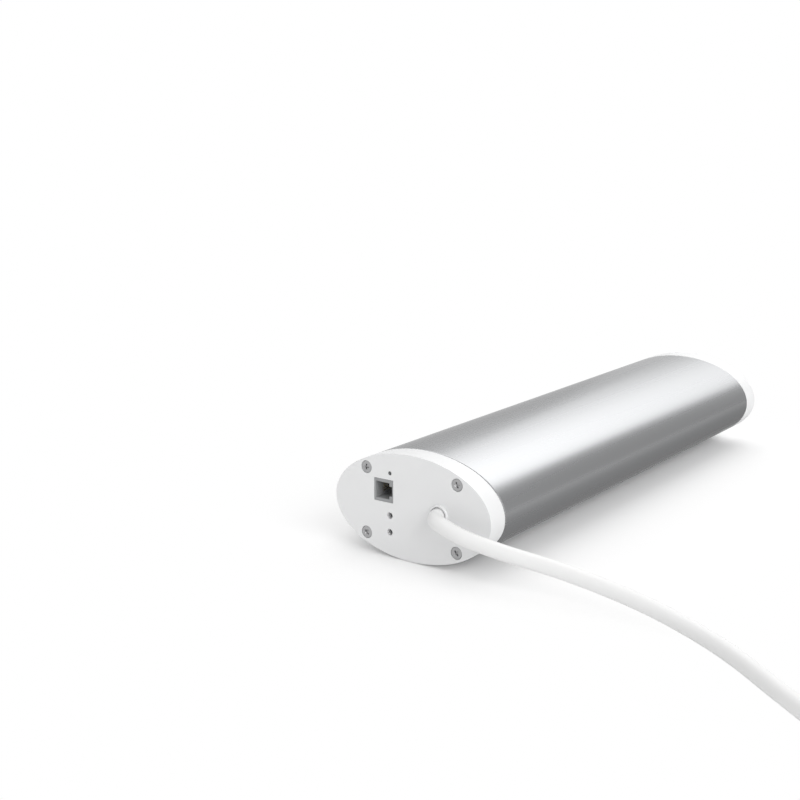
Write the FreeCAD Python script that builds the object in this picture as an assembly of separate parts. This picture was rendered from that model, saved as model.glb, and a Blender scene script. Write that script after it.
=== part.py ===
import FreeCAD, Part
import math
import os

from FreeCAD import Vector

# Drive motor unit of a motorized curtain track, in millimetres.
# The oval body lies along Y on its wide side: the cable end is at -Y, the drive end at +Y.
# Z is up, X runs across, and the origin is under the middle of the unit.

# Body
body_width = 86.0
body_height = 50.0
body_length = 300.0
cap_length = 12.0
tube_wall = 1.6
cap_wall = 1.8
seam_gap = 0.2
spigot_length = 6.0
spigot_gap = 0.15
edge_round = 0.6

# Fits
fixed_gap = 0.02
running_gap = 0.05
assembly_gap = 0.3

# Screws through both caps into ports of the extrusion
cap_screw_side_distance = 18.0
cap_screw_wall_distance = 2.95
cap_screw_diameter = 3.0
cap_screw_length = 14.0
screw_head_diameter = 5.7
screw_head_height = 2.0
screw_head_gap = 0.1
screw_hole_gap = 0.12
recess_width = 0.8
recess_depth = 1.1
recess_reach = 1.7
port_wall = 2.0

# Drive end face
drive_floor_thickness = 3.0
rim_width = 1.3
rim_depth = 2.0
peg_x = -26.5
peg_diameter = 4.9
peg_reach = 6.0
peg_dome = 1.2
peg_root_round = 0.7
peg_root_depth = 0.5

# Twist lock: a ring behind the drive face with two tabs through arc slots
slot_inner_radius = 10.3
slot_outer_radius = 12.5
slot_start_angle = 49.0
slot_sweep = 67.0
tab_wall_gap = 0.35
tab_sweep = 36.0
tab_end_gap = 1.0
tab_reach = 2.3
lock_ring_outer_radius = 13.6
lock_ring_thickness = 3.6
lock_ring_play = 0.2
lock_boss_radius = 8.4
retainer_thickness = 1.3
retainer_outer_radius = 12.0
boss_end_margin = 1.2

# Output shaft
shaft_diameter = 6.0
shaft_square = 5.0
shaft_reach = 17.0
shaft_round_reach = 2.2
shaft_chamfer = 0.5
shaft_tail = 1.0
shaft_hole_diameter = 6.6
bushing_outer_radius = 5.0
bushing_set_back = 1.0
bushing_length = 9.0

# Gearbox between two plates
plate_radius = 24.4
plate_wall_gap = 2.0
plate_thickness = 3.0
plate_stand_off = 14.0
gear_room = 23.0
pillar_offset = 14.8
pillar_radius = 2.4
gearbox_screw_radius = 1.25
gearbox_screw_grip = 8.0
gearbox_head_radius = 2.2
gearbox_head_height = 1.6
output_module = 0.6
output_teeth = 30
output_pinion_teeth = 10
motor_module = 0.5
motor_wheel_teeth = 38
motor_pinion_teeth = 10
gear_backlash = 0.07
tooth_tip_share = 0.8
tooth_root_share = 1.1
gear_end_play = 0.2
pressure_angle = 25.0
output_gear_width = 8.0
wheel_width = 5.0
wheel_inset = 2.5
pinion_overreach = 0.6
axle_radius = 1.25
axle_depth = 1.8
hub_radius = 2.2
flange_thickness = 1.0
flange_radius = 5.6

# Brushed motor
motor_radius = 18.0
motor_length = 58.0
can_wall = 1.2
can_face = 2.0
motor_shaft_radius = 1.15
motor_boss_radius = 5.0
motor_boss_length = 2.5
motor_bearing_radius = 3.5
motor_pinion_length = 6.5
pinion_set_back = 0.8
motor_screw_x = 8.6
end_bell_thickness = 3.5
rotor_gap = 0.6
magnet_thickness = 3.4
magnet_split = 14.0
magnet_overhang = 2.0
core_length = 28.0
core_set_back = 14.0
core_slots = 5
core_slot_width = 2.4
core_hub_radius = 5.0
winding_radius = 10.8
winding_overhang = 4.0
commutator_radius = 4.2
commutator_length = 6.0
commutator_set_back = 0.5
brush_width = 3.0
brush_height = 4.0
brush_length = 4.5
brush_gap = 0.1
brush_set_back = 0.8
brush_guide_wall = 0.8
rear_shaft_reach = 0.8
encoder_air_gap = 2.2
encoder_sensor_height = 1.2
encoder_sensor_x = (2.0, 6.0)
encoder_sensor_half_width = 1.5
encoder_magnet_radius = 5.0
encoder_magnet_length = 3.5
magnet_set_back = 1.5
encoder_board_radius = 15.0
encoder_post_radius = 1.5
encoder_post_x = 13.0
damper_width = 6.0
damper_set_back = 6.0
damper_wall_gap = 0.1

# Main board, slid into two guides of the extrusion
board_level = -9.0
board_thickness = 1.6
board_front_room = 21.0
board_motor_gap = 9.5
board_wall_gap = 0.6
guide_gap = 0.15
guide_rib = 1.2
guide_depth = 2.4
board_notch_width = 6.0
board_notch_length = 12.0
terminal_distance = 3.0
terminal_half_width = 10.0
terminal_hole_radius = 1.6
terminal_hole_depth = 2.0
terminal_length = 10.0
terminal_height = 9.0
terminal_pitch = 6.5
terminal_offset = 1.5
connector_set_back = 8.5
connector_length = 7.0
connector_height = 7.0
connector_half_width = 6.0
lead_radius = 1.1
lead_half_spacing = 3.0
lead_clearance = 0.4
lead_bend_room = 5.0
lead_drop = 8.0
# Parts on the board: x from, x to, distance from its cable end, length, height
transformer_frame = (-10.0, 18.0, 40.0, 24.0, 19.0)
transformer_leg = 6.0
transformer_yoke = 4.0
winding_reach = 2.0
relay_size = (10.0, 25.0, 18.0, 19.0, 15.0)
chip_sizes = [(-6.0, 1.0, 84.0, 7.0, 1.2), (8.0, 13.0, 92.0, 6.0, 1.4)]
# The same, but with the distance from the board's motor end
power_chip_size = (18.0, 26.0, 32.0, 10.0, 2.2)
radio_size = (-26.0, -8.0, 18.0, 24.0, 0.8)
radio_margin = 1.0
radio_antenna_length = 7.0
radio_shield_height = 2.2
# A chip between the capacitors and the radio: x from, x to, length, height
memory_chip_size = (-20.0, -14.0, 8.0, 1.6)
memory_chip_place = 0.697  # share of the free length that is left before it
# Capacitors: x, distance from the board's cable end, radius, height
capacitor_sizes = [(-22.0, 48.0, 6.0, 16.0), (-22.0, 62.0, 5.0, 15.0), (26.0, 50.0, 5.0, 15.0)]

# Service end face
service_floor_thickness = 2.5
jack_x = -15.2
jack_z = 6.2
jack_size = 10.6
jack_gap = 0.08
jack_depth = 17.0
jack_opening_left = 4.3
jack_opening_width = 7.6
jack_opening_height = 7.7
jack_opening_depth = 11.5
latch_notch_width = 1.6
latch_notch_height = 4.6
contact_count = 4
contact_pitch = 1.27
contact_size = 0.5
contact_length = 7.0
light_x = -11.66
light_z = 14.8
light_diameter = 1.9
light_boss_radius = 1.9
light_boss_length = 3.0
status_light_size = (2.0, 1.2)
status_light_height = 1.1
light_guide_gap = 0.2
button_x = -11.67
button_levels = {"set_button": -5.32, "mode_button": -13.23}
button_hole_diameter = 3.05
button_diameter = 2.8
button_set_back = 2.7
button_travel = 0.4
button_play = 0.1
button_flange_radius = 2.2
button_boss_radius = 2.9
button_boss_length = 5.0
button_flange_thickness = 1.0
switch_size = 6.0
switch_height = 3.5
switch_stem_depth = 1.2
interface_board_port_gap = 0.55
interface_board_right = 8.0
interface_board_wall_gap = 3.85
board_post_x = 3.5
board_post_z = 12.0
board_post_radius = 2.4
board_screw_radius = 0.8
board_head_radius = 1.7
board_head_height = 1.2
board_screw_length = 7.0

# Mains lead
cord_diameter = 7.2
cord_exit_x = 15.5
collar_reach = 1.0
collar_radius = 5.0
collar_gap = 0.4
collar_bore_depth = 1.5
gland_neck_radius = 4.6
gland_flange_radius = 6.2
gland_flange_thickness = 1.5
gland_length = 9.0
conductor_radius = 1.1
conductor_room_radius = 2.9
conductor_lay_radius = 1.5
conductor_straight_end = 10.5
conductor_last_run = 6.5

# Share of the shorter run that each corner of a cord or wire takes
corner_share = 0.45

# Coil of the cord's unseen length: it winds in, climbs one layer and winds out
coil_centre_x = 291.0
coil_centre_y = -207.0
coil_start_angle = -110.0
coil_start_radius = 47.0
turn_gap = 0.8
quarter_turns_in = 7
quarter_turns_climbing = 2
quarter_turns_out = 8

# Plug
plug_radius = 18.5
plug_body_length = 34.0
plug_taper_length = 12.0
plug_rear_radius = 9.5
plug_grip_depth = 2.5
plug_grip_half_height = 7.0
plug_front_length = 8.0
relief_length = 24.0
relief_front_radius = 7.0
relief_rear_radius = 4.6
relief_rings = 5
relief_ring_depth = 0.9
relief_ring_width = 1.6
pin_radius = 2.4
pin_length = 19.0
pin_tip_round = 1.4
pin_spacing = 19.0
earth_clip_width = 6.0
earth_clip_thickness = 1.0
earth_clip_length = 16.0
earth_clip_depth = 0.6
earth_clip_set_back = 0.5
earth_clip_gap = 0.2

# Places worked out from the sizes above
axis_z = body_height / 2
tube_inner_x = body_width / 2 - tube_wall
tube_inner_z = body_height / 2 - tube_wall
spigot_x = tube_inner_x - spigot_gap
spigot_z = tube_inner_z - spigot_gap
overall_length = body_length + shaft_reach + collar_reach
service_face = collar_reach - overall_length / 2
drive_rim = service_face + body_length
drive_floor = drive_rim - rim_depth
drive_floor_back = drive_floor - drive_floor_thickness
service_floor_back = service_face + service_floor_thickness
tube_start = service_face + cap_length
tube_end = drive_rim - cap_length
shaft_tip = drive_rim + shaft_reach
cap_screw_radius = cap_screw_diameter / 2
port_hole_radius = cap_screw_radius + running_gap
port_radius = port_hole_radius + port_wall
shaft_radius = shaft_diameter / 2
front_plate_end = drive_floor_back - plate_stand_off
gear_room_end = front_plate_end - plate_thickness
gear_room_start = gear_room_end - gear_room
motor_face = gear_room_start - plate_thickness
motor_rear = motor_face - motor_length
bell_rear = motor_rear - end_bell_thickness
can_inner_radius = motor_radius - can_wall
magnet_inner_radius = can_inner_radius - fixed_gap - magnet_thickness
core_radius = magnet_inner_radius - rotor_gap
core_end = motor_face - core_set_back
core_start = core_end - core_length
magnet_end = bell_rear - magnet_set_back
encoder_magnet_start = magnet_end - encoder_magnet_length
rear_shaft_end = encoder_magnet_start - rear_shaft_reach
encoder_board_end = encoder_magnet_start - encoder_air_gap - encoder_sensor_height
gear_distance = output_module * (output_teeth + output_pinion_teeth) / 2
gear_axis_z = axis_z + gear_distance
wheel_start = gear_room_start + wheel_inset
output_gear_end = gear_room_end - flange_thickness - gear_end_play
output_gear_start = output_gear_end - output_gear_width
bushing_end = drive_floor - bushing_set_back
board_bottom = axis_z + board_level
board_top = board_bottom + board_thickness
board_start = service_face + board_front_room
board_end = encoder_board_end - board_thickness - board_motor_gap
terminal_middle = cord_exit_x + terminal_offset
connector_middle = board_end - connector_set_back
jack_back = service_face + jack_depth
interface_board_end = jack_back + board_thickness
cord_radius = cord_diameter / 2
turn_spacing = cord_diameter + turn_gap
collar_bore_radius = cord_radius + collar_gap
cord_start = service_face - collar_reach + collar_bore_depth
button_radius = button_diameter / 2
button_boss_end = service_floor_back + button_boss_length
corners = [(1, 1), (-1, 1), (-1, -1), (1, -1)]
cap_screw_x = body_width / 2 - cap_screw_side_distance
wall_height = tube_inner_z * math.sqrt(1 - (cap_screw_x / tube_inner_x) ** 2)
cap_screw_z = wall_height - cap_screw_wall_distance
cap_screw_places = [(x * cap_screw_x, axis_z + z * cap_screw_z) for x, z in corners]
pillar_places = [(x * pillar_offset, axis_z + z * pillar_offset) for x, z in corners]

# The cord's way from the collar to the coil, as corners that tangent arcs round off.
# It bends down and aside at once, comes down in front of the face and then lies flat.
cord_route = [
    (cord_exit_x, cord_start, axis_z),
    (cord_exit_x, -161.5, axis_z),
    (17.3, -165.1, 24.6),
    (20.8, -167.7, 23.9),
    (26.6, -168.5, 22.9),
    (36.5, -167.8, 20.7),
    (54.0, -165.4, 17.6),
    (76.0, -160.6, 14.2),
    (98.0, -159.0, 10.8),
    (119.0, -160.0, 7.6),
    (140.0, -165.2, 4.8),
    (162.0, -176.6, cord_radius),
    (186.0, -196.0, cord_radius),
    (209.0, -213.5, cord_radius),
    (233.0, -231.0, cord_radius),
]
route_last_run = 22.0
tail_first_run = 20.0
tail_middle_run = 25.0
tail_last_run = 21.0
tail_turn = 17.0


# Shapes that many pieces share
def cylinder(radius, y_from, y_to, x=0.0, z=None):
    z = axis_z if z is None else z
    return Part.makeCylinder(radius, y_to - y_from, Vector(x, y_from, z), Vector(0, 1, 0))


def ring(outer_radius, inner_radius, y_from, y_to, x=0.0, z=None):
    bore = cylinder(inner_radius, y_from - 1, y_to + 1, x, z)
    return cylinder(outer_radius, y_from, y_to, x, z).cut(bore)


def block(x_from, x_to, y_from, y_to, z_from, z_to):
    return Part.makeBox(x_to - x_from, y_to - y_from, z_to - z_from, Vector(x_from, y_from, z_from))


def oval(half_width, half_height, y_from, y_to):
    edge = Part.Ellipse(Vector(0, 0, 0), half_width, half_height).toShape()
    face = Part.Face(Part.Wire([edge]))
    face.rotate(Vector(0, 0, 0), Vector(1, 0, 0), 90)
    face.translate(Vector(0, y_from, axis_z))
    return face.extrude(Vector(0, y_to - y_from, 0))


def joined(shapes):
    whole = shapes[0].multiFuse(shapes[1:]) if len(shapes) > 1 else shapes[0]
    return whole.removeSplitter()


def compound(shapes):
    return Part.makeCompound(shapes)


def oval_half_width(half_width, half_height, level):
    return half_width * math.sqrt(1 - (level / half_height) ** 2)


def outer_edges_at(shape, y, half_width):
    """The edges of the oval outline of the given half width that lie in the plane at y."""
    found = []
    for edge in shape.Edges:
        box = edge.BoundBox
        flat = abs(box.YMin - y) < 0.01 and abs(box.YMax - y) < 0.01
        if flat and abs(box.XMax - half_width) < 0.05 and abs(box.XMin + half_width) < 0.05:
            found.append(edge)
    return found


def cap_screws(face, direction, length):
    """Four screws whose heads lie just below the plane y = face; direction is +1 for shanks towards +Y."""
    head_top = face + direction * screw_head_gap
    head_end = head_top + direction * screw_head_height
    tip = head_end + direction * length
    recess_end = head_top + direction * recess_depth
    solids = []
    for x, z in cap_screw_places:
        head = cylinder(screw_head_diameter / 2, min(head_top, head_end), max(head_top, head_end), x, z)
        shank = cylinder(cap_screw_radius, min(head_end, tip), max(head_end, tip), x, z)
        screw = head.fuse(shank)
        reach = recess_reach
        low, high = min(head_top, recess_end), max(head_top, recess_end)
        across = block(x - reach, x + reach, low, high, z - recess_width / 2, z + recess_width / 2)
        upright = block(x - recess_width / 2, x + recess_width / 2, low, high, z - reach, z + reach)
        solids.append(screw.cut(across).cut(upright))
    return compound(solids)


def at_cap_screws(y_from, y_to, radius):
    """A cylinder on each of the four cap screws' axes."""
    return [cylinder(radius, y_from, y_to, x, z) for x, z in cap_screw_places]


def at_pillars(y_from, y_to, radius):
    """A cylinder on each of the four gearbox pillars' axes."""
    return [cylinder(radius, y_from, y_to, x, z) for x, z in pillar_places]


def without(shape, tools):
    for tool in tools:
        shape = shape.cut(tool)
    return shape


def spigot_notches(y_from, y_to):
    """Room in a cap's spigot for the screw ports and the board guides of the extrusion."""
    room = at_cap_screws(y_from, y_to, port_radius + assembly_gap)
    guide_reach = board_edge() - guide_depth - assembly_gap
    low = board_bottom - guide_gap - guide_rib - assembly_gap
    high = board_top + guide_gap + guide_rib + assembly_gap
    room.append(block(guide_reach, body_width, y_from, y_to, low, high))
    room.append(block(-body_width, -guide_reach, y_from, y_to, low, high))
    return room


def board_edge():
    lowest = board_level - guide_gap - guide_rib
    return oval_half_width(tube_inner_x, tube_inner_z, lowest) - board_wall_gap


# Body
def housing_tube():
    outer = oval(body_width / 2, body_height / 2, tube_start, tube_end)
    inner = oval(tube_inner_x, tube_inner_z, tube_start - 1, tube_end + 1)
    tube = outer.cut(inner)
    ports = [port.common(outer) for port in at_cap_screws(tube_start, tube_end, port_radius)]
    guides = []
    reach = board_edge() - guide_depth
    levels = [(board_bottom - guide_gap - guide_rib, board_bottom - guide_gap)]
    levels.append((board_top + guide_gap, board_top + guide_gap + guide_rib))
    for low, high in levels:
        guides.append(block(reach, body_width, tube_start, tube_end, low, high).common(outer))
        guides.append(block(-body_width, -reach, tube_start, tube_end, low, high).common(outer))
    tube = joined([tube] + ports + guides)
    for hole in at_cap_screws(tube_start - 1, tube_end + 1, port_hole_radius):
        tube = tube.cut(hole)
    return tube


def cap_shell(face, inward, floor):
    """An oval cap: a wall from the face to the seam, a spigot into the tube, a hollow behind the floor."""
    seam = face + inward * (cap_length - seam_gap)
    spigot_end = face + inward * (cap_length + spigot_length)
    floor_back = face + inward * floor
    outer = oval(body_width / 2, body_height / 2, min(face, seam), max(face, seam))
    rounded = outer_edges_at(outer, seam, body_width / 2)
    outer = outer.makeFillet(edge_round, rounded)
    spigot = oval(spigot_x, spigot_z, min(floor_back, spigot_end), max(floor_back, spigot_end))
    hollow_end = spigot_end + inward
    low, high = min(floor_back, hollow_end), max(floor_back, hollow_end)
    hollow = oval(spigot_x - cap_wall, spigot_z - cap_wall, low, high)
    shell = outer.fuse(spigot).cut(hollow)
    return without(shell, spigot_notches(min(seam, hollow_end), max(seam, hollow_end)))


def arc_piece(inner_radius, outer_radius, start, sweep, y_from, y_to):
    """A piece of a ring. Angles run anticlockwise from -X, as seen from outside the drive end."""
    whole = Part.makeCylinder(outer_radius, y_to - y_from, Vector(0, 0, 0), Vector(0, 0, 1), sweep)
    whole = whole.cut(Part.makeCylinder(inner_radius, y_to - y_from, Vector(0, 0, 0), Vector(0, 0, 1)))
    whole.rotate(Vector(0, 0, 0), Vector(0, 0, 1), start)
    whole.rotate(Vector(0, 0, 0), Vector(1, 0, 0), 90)
    whole.rotate(Vector(0, 0, 0), Vector(0, 0, 1), 180)
    whole.translate(Vector(0, y_from, axis_z))
    return whole


def drive_end_cap():
    cap = cap_shell(drive_rim, -1, rim_depth + drive_floor_thickness)
    recess = oval(body_width / 2 - rim_width, body_height / 2 - rim_width, drive_floor, drive_rim + 1)
    cap = cap.cut(recess)
    ring_front = drive_floor_back - lock_ring_play
    boss_end = ring_front - lock_ring_thickness - lock_ring_play - retainer_thickness - boss_end_margin
    bosses = at_cap_screws(tube_end, drive_floor, port_radius)
    bosses.append(cylinder(lock_boss_radius, boss_end, drive_floor))
    bosses += at_pillars(front_plate_end, drive_floor, pillar_radius)
    cap = joined([cap] + bosses)
    cap = without(cap, at_cap_screws(tube_end - 1, drive_rim, cap_screw_radius + screw_hole_gap))
    seat_depth = screw_head_height + screw_head_gap
    head_radius = screw_head_diameter / 2 + screw_hole_gap
    cap = without(cap, at_cap_screws(drive_floor - seat_depth, drive_rim, head_radius))
    pilot_end = front_plate_end + gearbox_screw_grip + 1
    cap = without(cap, at_pillars(front_plate_end - 1, pilot_end, gearbox_screw_radius + fixed_gap))
    cap = cap.cut(cylinder(shaft_hole_diameter / 2, boss_end - 1, drive_rim))
    cap = cap.cut(cylinder(bushing_outer_radius + fixed_gap, boss_end - 1, bushing_end))
    for turn in (0, 180):
        place = (slot_start_angle + turn, slot_sweep, drive_floor_back - 1, drive_rim)
        cap = cap.cut(arc_piece(slot_inner_radius, slot_outer_radius, *place))
    return cap.fuse(locating_peg()).removeSplitter()


def locating_peg():
    radius = peg_diameter / 2
    straight_end = drive_floor + peg_reach - peg_dome
    root = drive_floor
    start = Vector(0, root - peg_root_depth, 0)
    points = [
        start,
        Vector(radius + peg_root_round, root - peg_root_depth, 0),
        Vector(radius + peg_root_round, root, 0),
    ]
    edges = [Part.LineSegment(a, b).toShape() for a, b in zip(points, points[1:])]
    bend = peg_root_round * (1 - math.sqrt(0.5))
    foot_end = Vector(radius, root + peg_root_round, 0)
    edges.append(Part.Arc(points[-1], Vector(radius + bend, root + bend, 0), foot_end).toShape())
    edges.append(Part.LineSegment(foot_end, Vector(radius, straight_end, 0)).toShape())
    flat = radius - peg_dome
    lean = peg_dome * math.sqrt(0.5)
    dome = Part.Arc(
        Vector(radius, straight_end, 0),
        Vector(flat + lean, straight_end + lean, 0),
        Vector(flat, straight_end + peg_dome, 0),
    )
    edges.append(dome.toShape())
    top = Vector(0, straight_end + peg_dome, 0)
    edges.append(Part.LineSegment(Vector(flat, straight_end + peg_dome, 0), top).toShape())
    edges.append(Part.LineSegment(top, start).toShape())
    peg = Part.Face(Part.Wire(edges)).revolve(Vector(0, 0, 0), Vector(0, 1, 0), 360)
    peg.translate(Vector(peg_x, 0, axis_z))
    return peg


def service_end_cap():
    cap = cap_shell(service_face, 1, service_floor_thickness)
    bosses = at_cap_screws(service_face, tube_start, port_radius)
    for level in button_levels.values():
        place = (button_x, axis_z + level)
        bosses.append(cylinder(button_boss_radius, service_face, button_boss_end, *place))
    light_place = (light_x, axis_z + light_z)
    light_boss_end = service_floor_back + light_boss_length
    bosses.append(cylinder(light_boss_radius, service_face, light_boss_end, *light_place))
    for side in (1, -1):
        place = (board_post_x, axis_z + side * board_post_z)
        bosses.append(cylinder(board_post_radius, service_face, jack_back, *place))
    cap = joined([cap] + bosses)
    cap = without(cap, at_cap_screws(service_face - 1, tube_start + 1, cap_screw_radius + screw_hole_gap))
    seat_end = service_face + screw_head_height + screw_head_gap
    seat_radius = screw_head_diameter / 2 + screw_hole_gap
    cap = without(cap, at_cap_screws(service_face - 1, seat_end, seat_radius))
    half = jack_size / 2 + jack_gap
    middle = axis_z + jack_z
    sides = (jack_x - half, jack_x + half)
    cap = cap.cut(block(*sides, service_face - 1, jack_back, middle - half, middle + half))
    cap = cap.cut(cylinder(light_diameter / 2, service_face - 1, tube_start, *light_place))
    for level in button_levels.values():
        place = (button_x, axis_z + level)
        cap = cap.cut(cylinder(button_hole_diameter / 2, service_face - 1, tube_start, *place))
    cap = cap.cut(cylinder(gland_neck_radius + fixed_gap, service_face - 1, tube_start, cord_exit_x))
    for side in (1, -1):
        place = (board_post_x, axis_z + side * board_post_z)
        pilot = cylinder(board_screw_radius + fixed_gap, service_floor_back + 1, jack_back + 1, *place)
        cap = cap.cut(pilot)
    return cap


# Drive end mechanism
def lock_ring():
    front = drive_floor_back - lock_ring_play
    back = front - lock_ring_thickness
    whole = [ring(lock_ring_outer_radius, lock_boss_radius + running_gap, back, front)]
    for turn in (0, 180):
        start = slot_start_angle + tab_end_gap + turn
        inner = slot_inner_radius + tab_wall_gap
        outer = slot_outer_radius - tab_wall_gap
        whole.append(arc_piece(inner, outer, start, tab_sweep, back + 1, drive_floor + tab_reach))
    return joined(whole)


def lock_ring_retainer():
    front = drive_floor_back - lock_ring_play - lock_ring_thickness - lock_ring_play
    return ring(retainer_outer_radius, lock_boss_radius + fixed_gap, front - retainer_thickness, front)


def output_shaft():
    round_end = drive_floor + shaft_round_reach
    core = cylinder(shaft_radius, output_gear_start - shaft_tail, shaft_tip)
    edge = [e for e in core.Edges if abs(e.BoundBox.YMin - shaft_tip) < 0.01 and e.Closed]
    core = core.makeChamfer(shaft_chamfer, edge[:1])
    half = shaft_square / 2
    keep = block(-half, half, round_end, shaft_tip + 1, axis_z - half, axis_z + half)
    reach = shaft_diameter
    sleeve = block(-reach, reach, round_end, shaft_tip + 1, axis_z - reach, axis_z + reach).cut(keep)
    return core.cut(sleeve)


def shaft_bushing():
    return ring(bushing_outer_radius, shaft_radius + running_gap, bushing_end - bushing_length, bushing_end)


def gearbox_plate(y_from, y_to):
    half = tube_inner_z - plate_wall_gap
    disc = cylinder(plate_radius, y_from, y_to)
    plate = disc.common(block(-body_width, body_width, y_from, y_to, axis_z - half, axis_z + half))
    return without(plate, at_pillars(y_from - 1, y_to + 1, gearbox_screw_radius + running_gap))


def axle_cylinder(radius, depth):
    """A cylinder on the intermediate axle's axis that goes this deep into both plates."""
    return cylinder(radius, gear_room_start - depth, gear_room_end + depth, 0, gear_axis_z)


def at_motor_screws(y_from, y_to, radius):
    return [cylinder(radius, y_from, y_to, side * motor_screw_x) for side in (1, -1)]


def gearbox_front_plate():
    plate = gearbox_plate(gear_room_end, front_plate_end)
    plate = plate.cut(cylinder(bushing_outer_radius + fixed_gap, gear_room_end - 1, front_plate_end + 1))
    return plate.cut(axle_cylinder(axle_radius + fixed_gap, axle_depth + assembly_gap))


def gearbox_rear_plate():
    plate = gearbox_plate(motor_face, gear_room_start)
    plate = plate.cut(cylinder(motor_boss_radius + fixed_gap, motor_face - 1, gear_room_start + 1))
    plate = plate.cut(axle_cylinder(axle_radius + fixed_gap, axle_depth + assembly_gap))
    hole_radius = gearbox_screw_radius + running_gap
    return without(plate, at_motor_screws(motor_face - 1, gear_room_start + 1, hole_radius))


def front_plate_bushing():
    bore = shaft_radius + running_gap
    body = ring(bushing_outer_radius, bore, gear_room_end, front_plate_end)
    flange = ring(flange_radius, bore, gear_room_end - flange_thickness, gear_room_end)
    return joined([body, flange])


def gearbox_pillars():
    bore = gearbox_screw_radius + running_gap
    ends = (gear_room_start, gear_room_end)
    return compound([ring(pillar_radius, bore, *ends, x, z) for x, z in pillar_places])


def gearbox_screws():
    solids = []
    for place in pillar_places:
        head = cylinder(gearbox_head_radius, motor_face - gearbox_head_height, motor_face, *place)
        shank = cylinder(gearbox_screw_radius, motor_face, front_plate_end + gearbox_screw_grip, *place)
        solids.append(joined([head, shank]))
    return compound(solids)


def involute(angle):
    return math.tan(angle) - angle


def gear(teeth, module, y_from, y_to, centre_z, bore, tooth_towards_up):
    """A spur gear with involute flanks; one tooth, or one gap, points to +Z."""
    pitch_radius = module * teeth / 2
    lean = math.radians(pressure_angle)
    base_radius = pitch_radius * math.cos(lean)
    tip_radius = pitch_radius + tooth_tip_share * module
    root_radius = pitch_radius - tooth_root_share * module
    half_at_pitch = math.pi / (2 * teeth) - gear_backlash / (2 * pitch_radius)
    flank_start = max(base_radius, root_radius)

    def half_angle(radius):
        local = math.acos(min(1.0, base_radius / radius))
        return half_at_pitch + involute(lean) - involute(local)

    def point(radius, angle):
        return Vector(radius * math.sin(angle), 0, radius * math.cos(angle))

    step = 2 * math.pi / teeth
    first = 0.0 if tooth_towards_up else step / 2
    radii = [flank_start + (tip_radius - flank_start) * k / 3 for k in range(4)]
    edges = []
    for tooth in range(teeth):
        middle = first + tooth * step
        rising = [point(r, middle - half_angle(r)) for r in radii]
        falling = [point(r, middle + half_angle(r)) for r in reversed(radii)]
        root_in = point(root_radius, middle - half_angle(flank_start))
        root_out = point(root_radius, middle + half_angle(flank_start))
        next_root = point(root_radius, middle + step - half_angle(flank_start))
        if flank_start > root_radius:
            edges.append(Part.LineSegment(root_in, rising[0]).toShape())
        for side in (rising, falling):
            curve = Part.BSplineCurve()
            curve.interpolate(side)
            if side is falling:
                tip = Part.Arc(rising[-1], point(tip_radius, middle), falling[0])
                edges.append(tip.toShape())
            edges.append(curve.toShape())
        if flank_start > root_radius:
            edges.append(Part.LineSegment(falling[-1], root_out).toShape())
        edges.append(Part.Arc(root_out, point(root_radius, middle + step / 2), next_root).toShape())
    face = Part.Face(Part.Wire(edges))
    face.translate(Vector(0, y_from, centre_z))
    solid = face.extrude(Vector(0, y_to - y_from, 0))
    return solid.cut(cylinder(bore, y_from - 1, y_to + 1, 0, centre_z))


def output_gear():
    bore = shaft_radius + fixed_gap
    return gear(output_teeth, output_module, output_gear_start, output_gear_end, axis_z, bore, True)


def intermediate_gear():
    z = gear_axis_z
    bore = axle_radius + running_gap
    wheel_end = wheel_start + wheel_width
    hub_end = output_gear_end + pinion_overreach
    hub = ring(hub_radius, bore, gear_room_start + assembly_gap, wheel_start, 0, z)
    wheel_up = motor_wheel_teeth % 2 == 0
    wheel = gear(motor_wheel_teeth, motor_module, wheel_start, wheel_end, z, bore, wheel_up)
    pinion_up = output_pinion_teeth % 2 != 0
    pinion = gear(output_pinion_teeth, output_module, wheel_end, hub_end, z, bore, pinion_up)
    return joined([hub, wheel, pinion])


def motor_pinion():
    start = motor_face + motor_boss_length + pinion_set_back
    end = start + motor_pinion_length
    return gear(motor_pinion_teeth, motor_module, start, end, axis_z, motor_shaft_radius + fixed_gap, False)


def intermediate_axle():
    return axle_cylinder(axle_radius, axle_depth)


# Motor
def motor_can():
    face_back = motor_face - can_face
    boss_end = motor_face + motor_boss_length
    can = cylinder(motor_radius, motor_rear, motor_face)
    can = can.cut(cylinder(can_inner_radius, motor_rear - 1, face_back))
    can = joined([can, cylinder(motor_boss_radius, motor_face, boss_end)])
    can = can.cut(cylinder(motor_bearing_radius + fixed_gap, face_back - 1, boss_end + 1))
    return without(can, at_motor_screws(face_back - 1, motor_face + 1, gearbox_screw_radius + fixed_gap))


def motor_end_bell():
    bell = cylinder(motor_radius, bell_rear, motor_rear)
    for side in (1, -1):
        middle = side * (commutator_radius + brush_gap + brush_length / 2)
        outer = brush_guide(middle, brush_guide_wall)
        bell = bell.fuse(outer)
        post = cylinder(encoder_post_radius, encoder_board_end, bell_rear, side * encoder_post_x)
        bell = bell.fuse(post)
    bell = bell.removeSplitter()
    for side in (1, -1):
        middle = side * (commutator_radius + brush_gap + brush_length / 2)
        bell = bell.cut(brush_guide(middle, fixed_gap))
    return bell.cut(cylinder(motor_bearing_radius + fixed_gap, bell_rear - 1, motor_rear + 1))


def brush_guide(middle, margin):
    """A box round one brush, open towards the commutator."""
    start = max(motor_rear, motor_rear + brush_set_back - margin)
    half_z = brush_height / 2 + margin
    end = motor_rear + brush_set_back + brush_width + margin
    half = brush_length / 2
    return block(middle - half, middle + half, start, end, axis_z - half_z, axis_z + half_z)


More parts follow.
